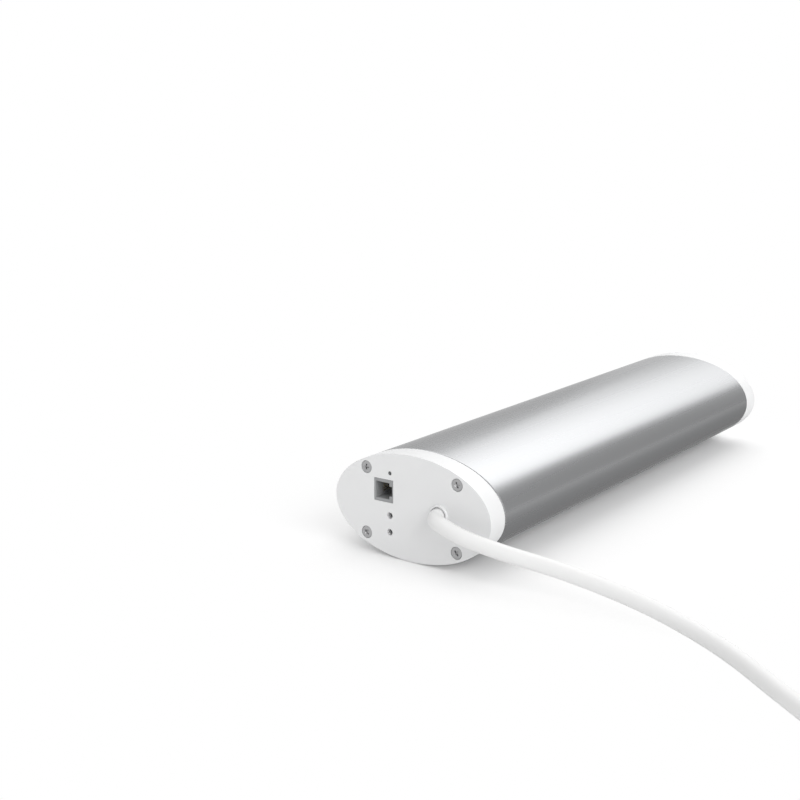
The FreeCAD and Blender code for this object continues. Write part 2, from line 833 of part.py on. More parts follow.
def brushes():
    solids = []
    for side in (1, -1):
        near = side * (commutator_radius + brush_gap)
        far = near + side * brush_length
        half = brush_height / 2
        y = motor_rear + brush_set_back
        sides = (min(near, far), max(near, far))
        solids.append(block(*sides, y, y + brush_width, axis_z - half, axis_z + half))
    return compound(solids)


def motor_magnets():
    start = core_start - magnet_overhang
    end = core_end + magnet_overhang
    whole = ring(can_inner_radius - fixed_gap, magnet_inner_radius, start, end)
    half = magnet_split / 2
    split = block(-half, half, start - 1, end + 1, axis_z - motor_radius, axis_z + motor_radius)
    return whole.cut(split)


def motor_bearings():
    bore = motor_shaft_radius + running_gap
    front = ring(motor_bearing_radius, bore, motor_face - can_face, motor_face + motor_boss_length)
    rear = ring(motor_bearing_radius, bore, bell_rear, motor_rear)
    return compound([front, rear])


def motor_shaft():
    tip = motor_face + motor_boss_length + pinion_set_back + motor_pinion_length
    return cylinder(motor_shaft_radius, rear_shaft_end, tip)


def armature_blank():
    core = ring(core_radius, motor_shaft_radius + fixed_gap, core_start, core_end)
    for slot in range(core_slots):
        half = core_slot_width / 2
        levels = (axis_z + core_hub_radius, axis_z + motor_radius)
        cut = block(-half, half, core_start - 1, core_end + 1, *levels)
        cut.rotate(Vector(0, 0, axis_z), Vector(0, 1, 0), 360 * slot / core_slots)
        core = core.cut(cut)
    return core


def armature_windings():
    outside = cylinder(winding_radius, core_start - winding_overhang, core_end + winding_overhang)
    outside = outside.cut(armature_blank())
    ends = (core_start - winding_overhang - 1, core_end + winding_overhang + 1)
    return outside.cut(cylinder(core_hub_radius, *ends))


def commutator():
    start = motor_rear + commutator_set_back
    return ring(commutator_radius, motor_shaft_radius + fixed_gap, start, start + commutator_length)


def motor_screws():
    heads = at_motor_screws(gear_room_start, gear_room_start + gearbox_head_height, gearbox_head_radius)
    shanks = at_motor_screws(motor_face - can_face, gear_room_start, gearbox_screw_radius)
    return compound([joined([head, shank]) for head, shank in zip(heads, shanks)])


def motor_damper():
    start = motor_rear + damper_set_back
    return ring(tube_inner_z - damper_wall_gap, motor_radius + fixed_gap, start, start + damper_width)


def encoder_magnet():
    return ring(encoder_magnet_radius, motor_shaft_radius + fixed_gap, encoder_magnet_start, magnet_end)


def encoder_board():
    start = encoder_board_end - board_thickness
    board = cylinder(encoder_board_radius, start, encoder_board_end)
    sensor_end = encoder_board_end + encoder_sensor_height
    low, high = axis_z - encoder_sensor_half_width, axis_z + encoder_sensor_half_width
    sensor = block(*encoder_sensor_x, encoder_board_end, sensor_end, low, high)
    return joined([board, sensor])


# Electronics
def main_board():
    edge = board_edge()
    board = block(-edge, edge, board_start, board_end, board_bottom, board_top)
    inner = board_notch_width - edge
    notch_start = board_end - board_notch_length
    return board.cut(block(-edge - 1, inner, notch_start, board_end + 1, board_bottom - 1, board_top + 1))


def on_board(x_from, x_to, distance, length, height):
    """A box on the main board, its start at the distance from the board's cable end."""
    y = board_start + distance
    return block(x_from, x_to, y, y + length, board_top, board_top + height)


def near_motor(x_from, x_to, distance, length, height):
    """The same, but its end is at the distance from the board's motor end."""
    return on_board(x_from, x_to, board_end - board_start - distance - length, length, height)


def terminal_x(pole):
    return terminal_middle + (pole - 1) * terminal_pitch


def terminal_block():
    low, high = terminal_middle - terminal_half_width, terminal_middle + terminal_half_width
    block_body = on_board(low, high, terminal_distance, terminal_length, terminal_height)
    for pole in range(3):
        y = board_start + terminal_distance + terminal_length / 2
        low = Vector(terminal_x(pole), y, board_top + terminal_height - terminal_hole_depth)
        hole = Part.makeCylinder(terminal_hole_radius, terminal_height, low, Vector(0, 0, 1))
        block_body = block_body.cut(hole)
    return block_body


def transformer():
    left, right, distance, length, height = transformer_frame
    low, high = left + transformer_leg, right - transformer_leg
    window = on_board(low, high, distance - 1, length + 2, height - transformer_yoke)
    return on_board(*transformer_frame).cut(window)


def transformer_winding():
    left, right, distance, length, height = transformer_frame
    low, high = left + transformer_leg + fixed_gap, right - transformer_leg - fixed_gap
    room = height - transformer_yoke - fixed_gap
    return on_board(low, high, distance - winding_reach, length + 2 * winding_reach, room)


def capacitors():
    solids = []
    for x, distance, radius, height in capacitor_sizes:
        place = Vector(x, board_start + distance, board_top)
        solids.append(Part.makeCylinder(radius, height, place, Vector(0, 0, 1)))
    return compound(solids)


def relay():
    return on_board(*relay_size)


def control_chips():
    left, right, length, height = memory_chip_size
    room_start = max(distance + radius for _, distance, radius, _ in capacitor_sizes)
    room_end = board_end - board_start - radio_size[2] - radio_size[3]
    distance = room_start + memory_chip_place * (room_end - room_start - length)
    memory = on_board(left, right, distance, length, height)
    return compound([on_board(*size) for size in chip_sizes] + [near_motor(*power_chip_size), memory])


def radio_module():
    left, right, distance, length, height = radio_size
    low, high = left + radio_margin, right - radio_margin
    covered = length - radio_margin - radio_antenna_length
    shield = near_motor(low, high, distance + radio_antenna_length, covered, height + radio_shield_height)
    return joined([near_motor(*radio_size), shield])


def motor_connector():
    distance = connector_middle - board_start - connector_length / 2
    half = connector_half_width
    return on_board(-half, half, distance, connector_length, connector_height)


def rounded_wire(points):
    """Straight runs through the points, with a tangent arc at each corner."""
    places = [Vector(*p) for p in points]
    edges = []
    radii = []
    last = places[0]
    for before, corner, after in zip(places, places[1:], places[2:]):
        shorter = min((corner - before).Length, (after - corner).Length)
        cut = corner_share * shorter
        to_before = (before - corner).normalize()
        to_after = (after - corner).normalize()
        turn = math.pi - to_before.getAngle(to_after)
        radii.append(cut / math.tan(turn / 2))
        start = corner + to_before * cut
        end = corner + to_after * cut
        edges.append(Part.LineSegment(last, start).toShape())
        edges.append(tangent_arc(start, corner, end))
        last = end
    edges.append(Part.LineSegment(last, places[-1]).toShape())
    return Part.Wire(edges), radii


def tangent_arc(start, corner, end):
    """The arc from start to end, tangent to the lines that join them to the corner."""
    middle = (start + end) * 0.5
    half_chord = (end - start).Length / 2
    cut = (corner - start).Length
    half_turn = math.acos(min(1.0, half_chord / cut))
    towards = (corner - middle).normalize()
    return Part.Arc(start, middle + towards * (half_chord * math.tan(half_turn / 2)), end).toShape()


def tube_along(wire, radius):
    first = wire.Edges[0]
    start = first.valueAt(first.FirstParameter)
    direction = first.tangentAt(first.FirstParameter)
    profile = Part.Wire([Part.makeCircle(radius, start, direction)])
    return wire.makePipeShell([profile], True, False)


def report_tube(name, solid, wire, radius, radii):
    share = solid.Volume / (math.pi * radius ** 2 * wire.Length)
    rounded = [round(r, 1) for r in radii]
    print(name, "length %.1f" % wire.Length, "volume share %.4f" % share, "radii", rounded)


def mains_conductors():
    solids = []
    terminal_level = board_top + terminal_height / 2
    for pole in range(3):
        angle = math.radians(90 + 120 * pole)
        x = cord_exit_x + conductor_lay_radius * math.cos(angle)
        z = axis_z + conductor_lay_radius * math.sin(angle)
        x_end = terminal_x((pole + 1) % 3)
        terminal = board_start + terminal_distance
        points = [
            (x, cord_start + button_play, z),
            (x, service_face + conductor_straight_end, z),
            (x_end, terminal - conductor_last_run, terminal_level),
            (x_end, terminal, terminal_level),
        ]
        wire, _ = rounded_wire(points)
        solids.append(tube_along(wire, conductor_radius))
    return compound(solids)


def motor_leads():
    solids = []
    lead_level = axis_z + encoder_board_radius + lead_radius + lead_clearance
    for side in (1, -1):
        x = side * lead_half_spacing
        points = [
            (x, bell_rear, lead_level),
            (x, encoder_board_end - lead_bend_room, lead_level),
            (x, connector_middle, lead_level - lead_drop),
            (x, connector_middle, board_top + connector_height),
        ]
        wire, _ = rounded_wire(points)
        solids.append(tube_along(wire, lead_radius))
    return compound(solids)


# Service end
def modular_jack():
    half = jack_size / 2
    middle = axis_z + jack_z
    body = block(jack_x - half, jack_x + half, service_face, jack_back, middle - half, middle + half)
    opening_left = jack_x - jack_opening_left
    opening_right = opening_left + jack_opening_width
    depth = service_face + jack_opening_depth
    low = middle - jack_opening_height / 2
    high = middle + jack_opening_height / 2
    body = body.cut(block(opening_left, opening_right, service_face - 1, depth, low, high))
    notch_half = latch_notch_height / 2
    notch_right = opening_right + latch_notch_width
    levels = (middle - notch_half, middle + notch_half)
    return body.cut(block(opening_right - 1, notch_right, service_face - 1, depth, *levels))


def jack_contacts():
    solids = []
    wall = jack_x - jack_opening_left
    back = service_face + jack_opening_depth
    for place in range(contact_count):
        z = axis_z + jack_z + (place - (contact_count - 1) / 2) * contact_pitch
        half = contact_size / 2
        solids.append(block(wall, wall + contact_size, back - contact_length, back, z - half, z + half))
    return compound(solids)


def light_guide():
    end = jack_back - status_light_height - light_guide_gap
    return cylinder(light_diameter / 2 - fixed_gap, service_face, end, light_x, axis_z + light_z)


def status_light():
    z = axis_z + light_z
    half_width, half_height = status_light_size[0] / 2, status_light_size[1] / 2
    sides = (light_x - half_width, light_x + half_width)
    return block(*sides, jack_back - status_light_height, jack_back, z - half_height, z + half_height)


def button(level):
    """A plunger that is reached with a pin through its hole; its flange holds it behind the face."""
    z = axis_z + level
    flange = button_boss_end + button_play
    flange_end = flange + button_flange_thickness
    stem_end = jack_back - switch_height + switch_stem_depth - button_travel - button_play
    plunger = cylinder(button_radius, service_face + button_set_back, stem_end, button_x, z)
    return joined([plunger, cylinder(button_flange_radius, flange, flange_end, button_x, z)])


def switch_bodies():
    solids = []
    half = switch_size / 2
    front = jack_back - switch_height
    for level in button_levels.values():
        z = axis_z + level
        body = block(button_x - half, button_x + half, front, jack_back, z - half, z + half)
        room = cylinder(button_radius + button_play, front - 1, front + switch_stem_depth, button_x, z)
        solids.append(body.cut(room))
    return compound(solids)


def interface_board():
    left = interface_board_port_gap + port_radius - cap_screw_x
    half = spigot_z - cap_wall - interface_board_wall_gap
    board = block(left, interface_board_right, jack_back, interface_board_end, axis_z - half, axis_z + half)
    for side in (1, -1):
        place = (board_post_x, axis_z + side * board_post_z)
        hole = cylinder(board_screw_radius + running_gap, jack_back - 1, interface_board_end + 1, *place)
        board = board.cut(hole)
    return board


def interface_board_screws():
    solids = []
    for side in (1, -1):
        place = (board_post_x, axis_z + side * board_post_z)
        head_end = interface_board_end + board_head_height
        head = cylinder(board_head_radius, interface_board_end, head_end, *place)
        shank = cylinder(board_screw_radius, jack_back - board_screw_length, interface_board_end, *place)
        solids.append(joined([head, shank]))
    return compound(solids)


def cable_gland():
    mouth = service_face - collar_reach
    end = service_face + gland_length
    flange_end = service_floor_back + gland_flange_thickness
    collar = cylinder(collar_radius, mouth, service_face, cord_exit_x)
    neck = cylinder(gland_neck_radius, service_face, end, cord_exit_x)
    flange = cylinder(gland_flange_radius, service_floor_back, flange_end, cord_exit_x)
    gland = joined([collar, neck, flange])
    gland = gland.cut(cylinder(collar_bore_radius, mouth - 1, cord_start, cord_exit_x))
    return gland.cut(cylinder(conductor_room_radius, mouth - 1, end + 1, cord_exit_x))


# Mains lead
def coil_place(turns):
    """The centre of the cord after so many turns of the coil."""
    reversal = (quarter_turns_in + quarter_turns_climbing / 2) / 4
    climb_start = quarter_turns_in / 4
    climb = quarter_turns_climbing / 4
    wound_in = min(turns, reversal) - max(0, turns - reversal)
    radius = coil_start_radius - turn_spacing * wound_in
    climbed = min(1.0, max(0.0, (turns - climb_start) / climb))
    angle = math.radians(coil_start_angle) + 2 * math.pi * turns
    x = coil_centre_x + radius * math.cos(angle)
    y = coil_centre_y + radius * math.sin(angle)
    z = cord_radius + turn_spacing * (1 - math.cos(math.pi * climbed)) / 2
    return Vector(x, y, z)


def coil_direction(turns, before=0.001, after=0.001):
    return (coil_place(turns + after) - coil_place(turns - before)).normalize()


coil_turns = (quarter_turns_in + quarter_turns_climbing + quarter_turns_out) / 4
coil_first_direction = coil_direction(0, 0.0)
coil_last_direction = coil_direction(coil_turns, 0.001, 0.0)
coil_start = coil_place(0) - coil_first_direction * cord_diameter
coil_end = coil_place(coil_turns) + coil_last_direction * cord_diameter


def turned(direction, degrees, rise=0.0):
    angle = math.radians(degrees)
    x = direction.x * math.cos(angle) - direction.y * math.sin(angle)
    y = direction.x * math.sin(angle) + direction.y * math.cos(angle)
    return Vector(x, y, rise).normalize()


def biarc(start, start_direction, end, end_direction):
    """Two arcs from start to end that are tangent to both directions and to each other."""
    across = end - start
    directions = start_direction + end_direction
    spread = 2 - 2 * start_direction.dot(end_direction)
    along = across.dot(directions)
    reach = (math.sqrt(along ** 2 + spread * across.dot(across)) - along) / spread
    first_corner = start + start_direction * reach
    second_corner = end - end_direction * reach
    joint = (first_corner + second_corner) * 0.5
    return [tangent_arc(start, first_corner, joint), tangent_arc(joint, second_corner, end)]


def coil_wire():
    edges = [Part.LineSegment(coil_start, coil_place(0)).toShape()]
    steps = quarter_turns_in + quarter_turns_climbing + quarter_turns_out
    for step in range(steps):
        turns, next_turns = step / 4, (step + 1) / 4
        first = coil_first_direction if step == 0 else coil_direction(turns)
        last = coil_last_direction if step == steps - 1 else coil_direction(next_turns)
        edges += biarc(coil_place(turns), first, coil_place(next_turns), last)
    edges.append(Part.LineSegment(coil_place(coil_turns), coil_end).toShape())
    return Part.Wire(edges)


def least_gap(wire, diameter):
    """The least clear distance between stretches that are over three diameters apart along the wire."""
    points = wire.discretize(Distance=2.0)
    step = wire.Length / (len(points) - 1)
    apart = int(3 * diameter / step) + 1
    least = wire.Length
    for i, one in enumerate(points):
        for other in points[i + apart:]:
            least = min(least, one.distanceToPoint(other))
    return least - diameter


def cord_coil():
    wire = coil_wire()
    solid = tube_along(wire, cord_radius)
    report_tube("cord_coil", solid, wire, cord_radius, [])
    print("least gap of the coil to itself %.2f" % least_gap(wire, cord_diameter))
    return solid


def supply_cord():
    route = list(cord_route)
    route.append(tuple(coil_start - coil_first_direction * route_last_run))
    route.append(tuple(coil_start))
    wire, radii = rounded_wire(route)
    solid = tube_along(wire, cord_radius)
    report_tube("supply_cord", solid, wire, cord_radius, radii)
    return solid


def tail_points():
    first = coil_end
    second = first + coil_last_direction * tail_first_run
    rise = plug_radius - coil_end.z
    slope = rise / math.sqrt(tail_middle_run ** 2 - rise ** 2)
    third = second + turned(coil_last_direction, tail_turn, slope) * tail_middle_run
    fourth = third + turned(coil_last_direction, 2 * tail_turn) * tail_last_run
    return [first, second, third, fourth]


def cord_tail():
    wire, radii = rounded_wire([tuple(p) for p in tail_points()])
    solid = tube_along(wire, cord_radius)
    report_tube("cord_tail", solid, wire, cord_radius, radii)
    return solid


# Plug, modelled along +Y from the cord's end and then turned to the tail's last direction
def placed_plug(shape):
    end = tail_points()[-1]
    direction = turned(coil_last_direction, 2 * tail_turn)
    shape.rotate(Vector(0, 0, 0), Vector(0, 0, 1), math.degrees(math.atan2(direction.y, direction.x)) - 90)
    shape.translate(end)
    return shape


def cone(start_radius, end_radius, y_from, y_to):
    return Part.makeCone(start_radius, end_radius, y_to - y_from, Vector(0, y_from, 0), Vector(0, 1, 0))


def straight_cylinder(radius, y_from, y_to, x=0.0, z=0.0):
    return cylinder(radius, y_from, y_to, x, z)


def plug_strain_relief():
    relief = cone(relief_rear_radius, relief_front_radius, 0, relief_length)
    ring_room = relief_length / (relief_rings + 1)
    for place in range(relief_rings):
        middle = ring_room * (place + 1)
        outer = relief_front_radius + 1
        local = relief_rear_radius + (relief_front_radius - relief_rear_radius) * middle / relief_length
        half = relief_ring_width / 2
        groove = straight_cylinder(outer, middle - half, middle + half)
        groove = groove.cut(straight_cylinder(local - relief_ring_depth, middle - 1, middle + 1))
        relief = relief.cut(groove)
    return placed_plug(relief)


def plug_body():
    start = relief_length
    taper_end = start + plug_taper_length
    body = cone(plug_rear_radius, plug_radius, start, taper_end)
    body = joined([body, straight_cylinder(plug_radius, taper_end, start + plug_body_length)])
    for side in (1, -1):
        far = plug_radius * side
        near = (plug_radius - plug_grip_depth) * side
        half = plug_grip_half_height
        grip_end = start + plug_body_length - plug_front_length
        body = body.cut(block(min(far, near), max(far, near), start - 1, grip_end, -half, half))
    for side in (1, -1):
        far = plug_radius * side
        near = (plug_radius - earth_clip_thickness - earth_clip_depth) * side
        clip_start = start + plug_body_length - earth_clip_length
        half = earth_clip_width / 2 + earth_clip_gap
        end = start + plug_body_length + 1
        body = body.cut(block(-half, half, clip_start, end, min(far, near), max(far, near)))
    return placed_plug(body)


def plug_pins():
    front = relief_length + plug_body_length
    solids = []
    for side in (1, -1):
        pin = straight_cylinder(pin_radius, front, front + pin_length, side * pin_spacing / 2)
        tip = [e for e in pin.Edges if e.Closed and abs(e.BoundBox.YMin - front - pin_length) < 0.01]
        solids.append(pin.makeFillet(pin_tip_round, tip[:1]))
    return placed_plug(compound(solids))


def plug_earth_clips():
    front = relief_length + plug_body_length
    solids = []
    for side in (1, -1):
        near = (plug_radius - earth_clip_thickness - earth_clip_depth) * side
        far = near + side * earth_clip_thickness
        half = earth_clip_width / 2
        ends = (front - earth_clip_length, front - earth_clip_set_back)
        solids.append(block(-half, half, *ends, min(near, far), max(near, far)))
    return placed_plug(compound(solids))


pieces = {
    "housing_tube": housing_tube,
    "drive_end_cap": drive_end_cap,
    "service_end_cap": service_end_cap,
    "drive_cap_screws": lambda: cap_screws(drive_floor, -1, cap_screw_length),
    "service_cap_screws": lambda: cap_screws(service_face, 1, cap_screw_length),
    "lock_ring": lock_ring,
    "lock_ring_retainer": lock_ring_retainer,
    "output_shaft": output_shaft,
    "shaft_bushing": shaft_bushing,
    "gearbox_front_plate": gearbox_front_plate,
    "gearbox_rear_plate": gearbox_rear_plate,
    "front_plate_bushing": front_plate_bushing,
    "gearbox_pillars": gearbox_pillars,
    "gearbox_screws": gearbox_screws,
    "output_gear": output_gear,
    "intermediate_gear": intermediate_gear,
    "intermediate_axle": intermediate_axle,
    "motor_pinion": motor_pinion,
    "motor_can": motor_can,
    "motor_end_bell": motor_end_bell,
    "brushes": brushes,
    "motor_magnets": motor_magnets,
    "motor_bearings": motor_bearings,
    "motor_shaft": motor_shaft,
    "armature_core": armature_blank,
    "armature_windings": armature_windings,
    "commutator": commutator,
    "motor_screws": motor_screws,
    "motor_damper": motor_damper,
    "encoder_magnet": encoder_magnet,
    "encoder_board": encoder_board,
    "main_board": main_board,
    "terminal_block": terminal_block,
    "transformer_core": transformer,
    "transformer_winding": transformer_winding,
    "capacitors": capacitors,
    "relay": relay,
    "control_chips": control_chips,
    "radio_module": radio_module,
    "motor_connector": motor_connector,
    "motor_leads": motor_leads,
    "mains_conductors": mains_conductors,
    "modular_jack": modular_jack,
    "jack_contacts": jack_contacts,
    "light_guide": light_guide,
    "status_light": status_light,
    "set_button": lambda: button(button_levels["set_button"]),
    "mode_button": lambda: button(button_levels["mode_button"]),
    "switch_bodies": switch_bodies,
    "interface_board": interface_board,
    "interface_board_screws": interface_board_screws,
    "cable_gland": cable_gland,
    "supply_cord": supply_cord,
    "cord_coil": cord_coil,
    "cord_tail": cord_tail,
    "plug_strain_relief": plug_strain_relief,
    "plug_body": plug_body,
    "plug_pins": plug_pins,
    "plug_earth_clips": plug_earth_clips,
}

os.makedirs("parts", exist_ok=True)
for name, make in pieces.items():
    shape = make()
    shape.exportStep("parts/" + name + ".step")
    print(name, "solids", len(shape.Solids), "volume %.1f" % shape.Volume, "valid", shape.isValid())
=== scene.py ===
import math

import bmesh
import bpy
from mathutils import Matrix, Vector


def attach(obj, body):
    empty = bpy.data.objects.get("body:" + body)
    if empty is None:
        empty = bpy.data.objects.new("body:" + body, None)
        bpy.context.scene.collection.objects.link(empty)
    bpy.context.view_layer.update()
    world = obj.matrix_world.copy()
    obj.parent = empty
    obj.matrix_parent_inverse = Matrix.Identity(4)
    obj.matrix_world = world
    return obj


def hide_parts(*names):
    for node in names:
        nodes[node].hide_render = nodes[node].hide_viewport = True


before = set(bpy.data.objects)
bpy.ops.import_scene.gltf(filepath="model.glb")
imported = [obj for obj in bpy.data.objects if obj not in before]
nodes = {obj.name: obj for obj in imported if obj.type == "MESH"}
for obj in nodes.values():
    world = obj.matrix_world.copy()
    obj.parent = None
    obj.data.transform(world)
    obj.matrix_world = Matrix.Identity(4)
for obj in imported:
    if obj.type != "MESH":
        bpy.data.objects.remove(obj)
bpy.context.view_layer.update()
scene = bpy.context.scene

mm = 0.001
axisHeight = 25.0 * mm
serviceFace = -158.0 * mm
driveFloor = 140.0 * mm
mainBody = "motor_unit"


# --- camera
cameraSetup = {
    "place": (0.3308, -0.6169, 0.20593),
    "pitch": 12.976,  # degrees below the horizon
    "heading": 36.265,  # degrees from +Y towards -X
    "lens": 59.056,
    "sensor": 36.0,
}

cameraData = bpy.data.cameras.new("photoCamera")
cameraData.lens = cameraSetup["lens"]
cameraData.sensor_width = cameraSetup["sensor"]
cameraData.clip_start = 0.01
photoCamera = bpy.data.objects.new("photoCamera", cameraData)
photoCamera.location = cameraSetup["place"]
photoCamera.rotation_euler = (
    math.radians(90 - cameraSetup["pitch"]), 0, math.radians(cameraSetup["heading"])
)
scene.collection.objects.link(photoCamera)
scene.camera = photoCamera
scene.view_settings.view_transform = "Standard"
print("camera placed")


# --- shader groups that several finishes share
def newShaderGroup(name, inputs, outputs):
    group = bpy.data.node_groups.new(name, "ShaderNodeTree")
    for label, kind, value in inputs:
        socket = group.interface.new_socket(label, in_out="INPUT", socket_type="NodeSocket" + kind)
        if value is not None:
            socket.default_value = value
    for label, kind in outputs:
        group.interface.new_socket(label, in_out="OUTPUT", socket_type="NodeSocket" + kind)
    return group, group.nodes.new("NodeGroupInput"), group.nodes.new("NodeGroupOutput")


def feed(tree, socket, value):
    if isinstance(value, bpy.types.NodeSocket):
        tree.links.new(value, socket)
    elif value is not None:
        socket.default_value = value


def addNoise(tree, vector, scale, detail=2.0, roughness=0.5):
    noise = tree.nodes.new("ShaderNodeTexNoise")
    noise.inputs["Detail"].default_value = detail
    noise.inputs["Roughness"].default_value = roughness
    tree.links.new(vector, noise.inputs["Vector"])
    feed(tree, noise.inputs["Scale"], scale)
    return noise.outputs["Fac"]


def addMath(tree, operation, first, second=None):
    step = tree.nodes.new("ShaderNodeMath")
    step.operation = operation
    feed(tree, step.inputs[0], first)
    feed(tree, step.inputs[1], second)
    return step.outputs[0]


def addRange(tree, value, fromLow, fromHigh, toLow, toHigh, smooth=False):
    step = tree.nodes.new("ShaderNodeMapRange")
    if smooth:
        step.interpolation_type = "SMOOTHSTEP"
    feed(tree, step.inputs["Value"], value)
    spans = {"From Min": fromLow, "From Max": fromHigh, "To Min": toLow, "To Max": toHigh}
    for label, number in spans.items():
        feed(tree, step.inputs[label], number)
    return step.outputs["Result"]


def addColorMix(tree, factor, first, second):
    mix = tree.nodes.new("ShaderNodeMix")
    mix.data_type = "RGBA"
    feed(tree, mix.inputs[0], factor)
    for socket, color in ((mix.inputs[6], first), (mix.inputs[7], second)):  # colours A and B
        feed(tree, socket, color if isinstance(color, bpy.types.NodeSocket) else (*color, 1.0))
    return mix.outputs[2]


# Fine moulded or cast skin: small pits for Height, a slow cloud for Cloud
mouldedSkin, source, target = newShaderGroup(
    "mouldedSkin",
    [("Vector", "Vector", None), ("Pit Scale", "Float", 3500.0), ("Cloud Scale", "Float", 60.0)],
    [("Height", "Float"), ("Cloud", "Float")],
)
pits = addNoise(mouldedSkin, source.outputs["Vector"], source.outputs["Pit Scale"], 3.0, 0.6)
cloud = addNoise(mouldedSkin, source.outputs["Vector"], source.outputs["Cloud Scale"])
mouldedSkin.links.new(pits, target.inputs["Height"])
mouldedSkin.links.new(cloud, target.inputs["Cloud"])

# Lines of brushing, drawing or turning: the vector comes already squeezed along the lines
workedLines, source, target = newShaderGroup(
    "workedLines",
    [("Vector", "Vector", None), ("Line Scale", "Float", 2500.0), ("Band Scale", "Float", 350.0)],
    [("Height", "Float"), ("Band", "Float")],
)
lines = addNoise(workedLines, source.outputs["Vector"], source.outputs["Line Scale"], roughness=0.7)
bands = addNoise(workedLines, source.outputs["Vector"], source.outputs["Band Scale"], 3.0, 0.6)
workedLines.links.new(lines, target.inputs["Height"])
workedLines.links.new(bands, target.inputs["Band"])

# Handling marks: a few faint scuffs, 0 to 1, with a soft rim
scuffRim = 0.12
faintScuffs, source, target = newShaderGroup(
    "faintScuffs",
    [("Vector", "Vector", None), ("Scale", "Float", 90.0), ("Share", "Float", 0.35)],
    [("Mask", "Float")],
)
field = addNoise(faintScuffs, source.outputs["Vector"], source.outputs["Scale"], 6.0, 0.75)
threshold = addMath(faintScuffs, "SUBTRACT", 1.0, source.outputs["Share"])
upper = addMath(faintScuffs, "ADD", threshold, scuffRim)
mask = addRange(faintScuffs, field, threshold, upper, 0.0, 1.0, True)
faintScuffs.links.new(mask, target.inputs["Mask"])


def startMaterial(name):
    material = bpy.data.materials.new(name)
    material.use_nodes = True
    tree = material.node_tree
    shader = tree.nodes["Principled BSDF"]
    place = tree.nodes.new("ShaderNodeTexCoord")
    return material, tree, shader, place.outputs["Object"]


def placeGroup(tree, group, vector, **values):
    node = tree.nodes.new("ShaderNodeGroup")
    node.node_tree = group
    tree.links.new(vector, node.inputs["Vector"])
    for label, value in values.items():
        feed(tree, node.inputs[label.replace("_", " ")], value)
    return node


def addBump(tree, shader, height, depth):
    bump = tree.nodes.new("ShaderNodeBump")
    bump.inputs["Distance"].default_value = depth
    tree.links.new(height, bump.inputs["Height"])
    tree.links.new(bump.outputs["Normal"], shader.inputs["Normal"])


noiseSpan = (0.3, 0.7)  # the part of 0 to 1 that a soft noise really fills
plainSkin = {
    "pits": 3500.0,
    "clouds": 60.0,
    "marks": 0.34,
    "markScale": 120.0,
    "markShine": 0.06,
    "ior": 1.5,
}
plainMetal = {
    "squeeze": (1.0, 1.0, 1.0),
    "lines": 2500.0,
    "bands": 350.0,
    "edge": (1.0, 1.0, 1.0),
    "depth": 0.00001,
    "marks": 0.34,
    "markScale": 150.0,
    "markShine": 0.08,
}


def varyRoughness(tree, field, look):
    return addRange(tree, field, *noiseSpan, *look["roughness"])


def dressSurface(tree, shader, place, field, height, look):
    tree.links.new(addColorMix(tree, field, *look["tones"]), shader.inputs["Base Color"])
    marks = placeGroup(tree, faintScuffs, place, Scale=look["markScale"], Share=look["marks"])
    rubbed = addMath(tree, "MULTIPLY", marks.outputs["Mask"], look["markShine"])
    rough = addMath(tree, "ADD", varyRoughness(tree, field, look), rubbed)
    tree.links.new(rough, shader.inputs["Roughness"])
    addBump(tree, shader, height, look["depth"])


def plasticFinish(name, look):
    look = {**plainSkin, **look}
    material, tree, shader, place = startMaterial(name)
    skin = placeGroup(tree, mouldedSkin, place, Pit_Scale=look["pits"], Cloud_Scale=look["clouds"])
    dressSurface(tree, shader, place, skin.outputs["Cloud"], skin.outputs["Height"], look)
    shader.inputs["IOR"].default_value = look["ior"]
    return material


def metalFinish(name, look):
    look = {**plainMetal, **look}
    material, tree, shader, place = startMaterial(name)
    along = tree.nodes.new("ShaderNodeMapping")
    along.inputs["Scale"].default_value = look["squeeze"]
    tree.links.new(place, along.inputs["Vector"])
    worked = placeGroup(
        tree, workedLines, along.outputs["Vector"], Line_Scale=look["lines"], Band_Scale=look["bands"]
    )
    dressSurface(tree, shader, place, worked.outputs["Band"], worked.outputs["Height"], look)
    shader.inputs["Metallic"].default_value = 1.0
    shader.inputs["Specular Tint"].default_value = (*look["edge"], 1.0)
    return material


def clearFinish(name, look):
    material, tree, shader, place = startMaterial(name)
    skin = placeGroup(tree, mouldedSkin, place, Pit_Scale=look["pits"], Cloud_Scale=look["clouds"])
    tree.links.new(addColorMix(tree, skin.outputs["Cloud"], *look["tones"]), shader.inputs["Base Color"])
    tree.links.new(varyRoughness(tree, skin.outputs["Cloud"], look), shader.inputs["Roughness"])
    shader.inputs["Transmission Weight"].default_value = look["clear"]
    shader.inputs["IOR"].default_value = look["ior"]
    return material


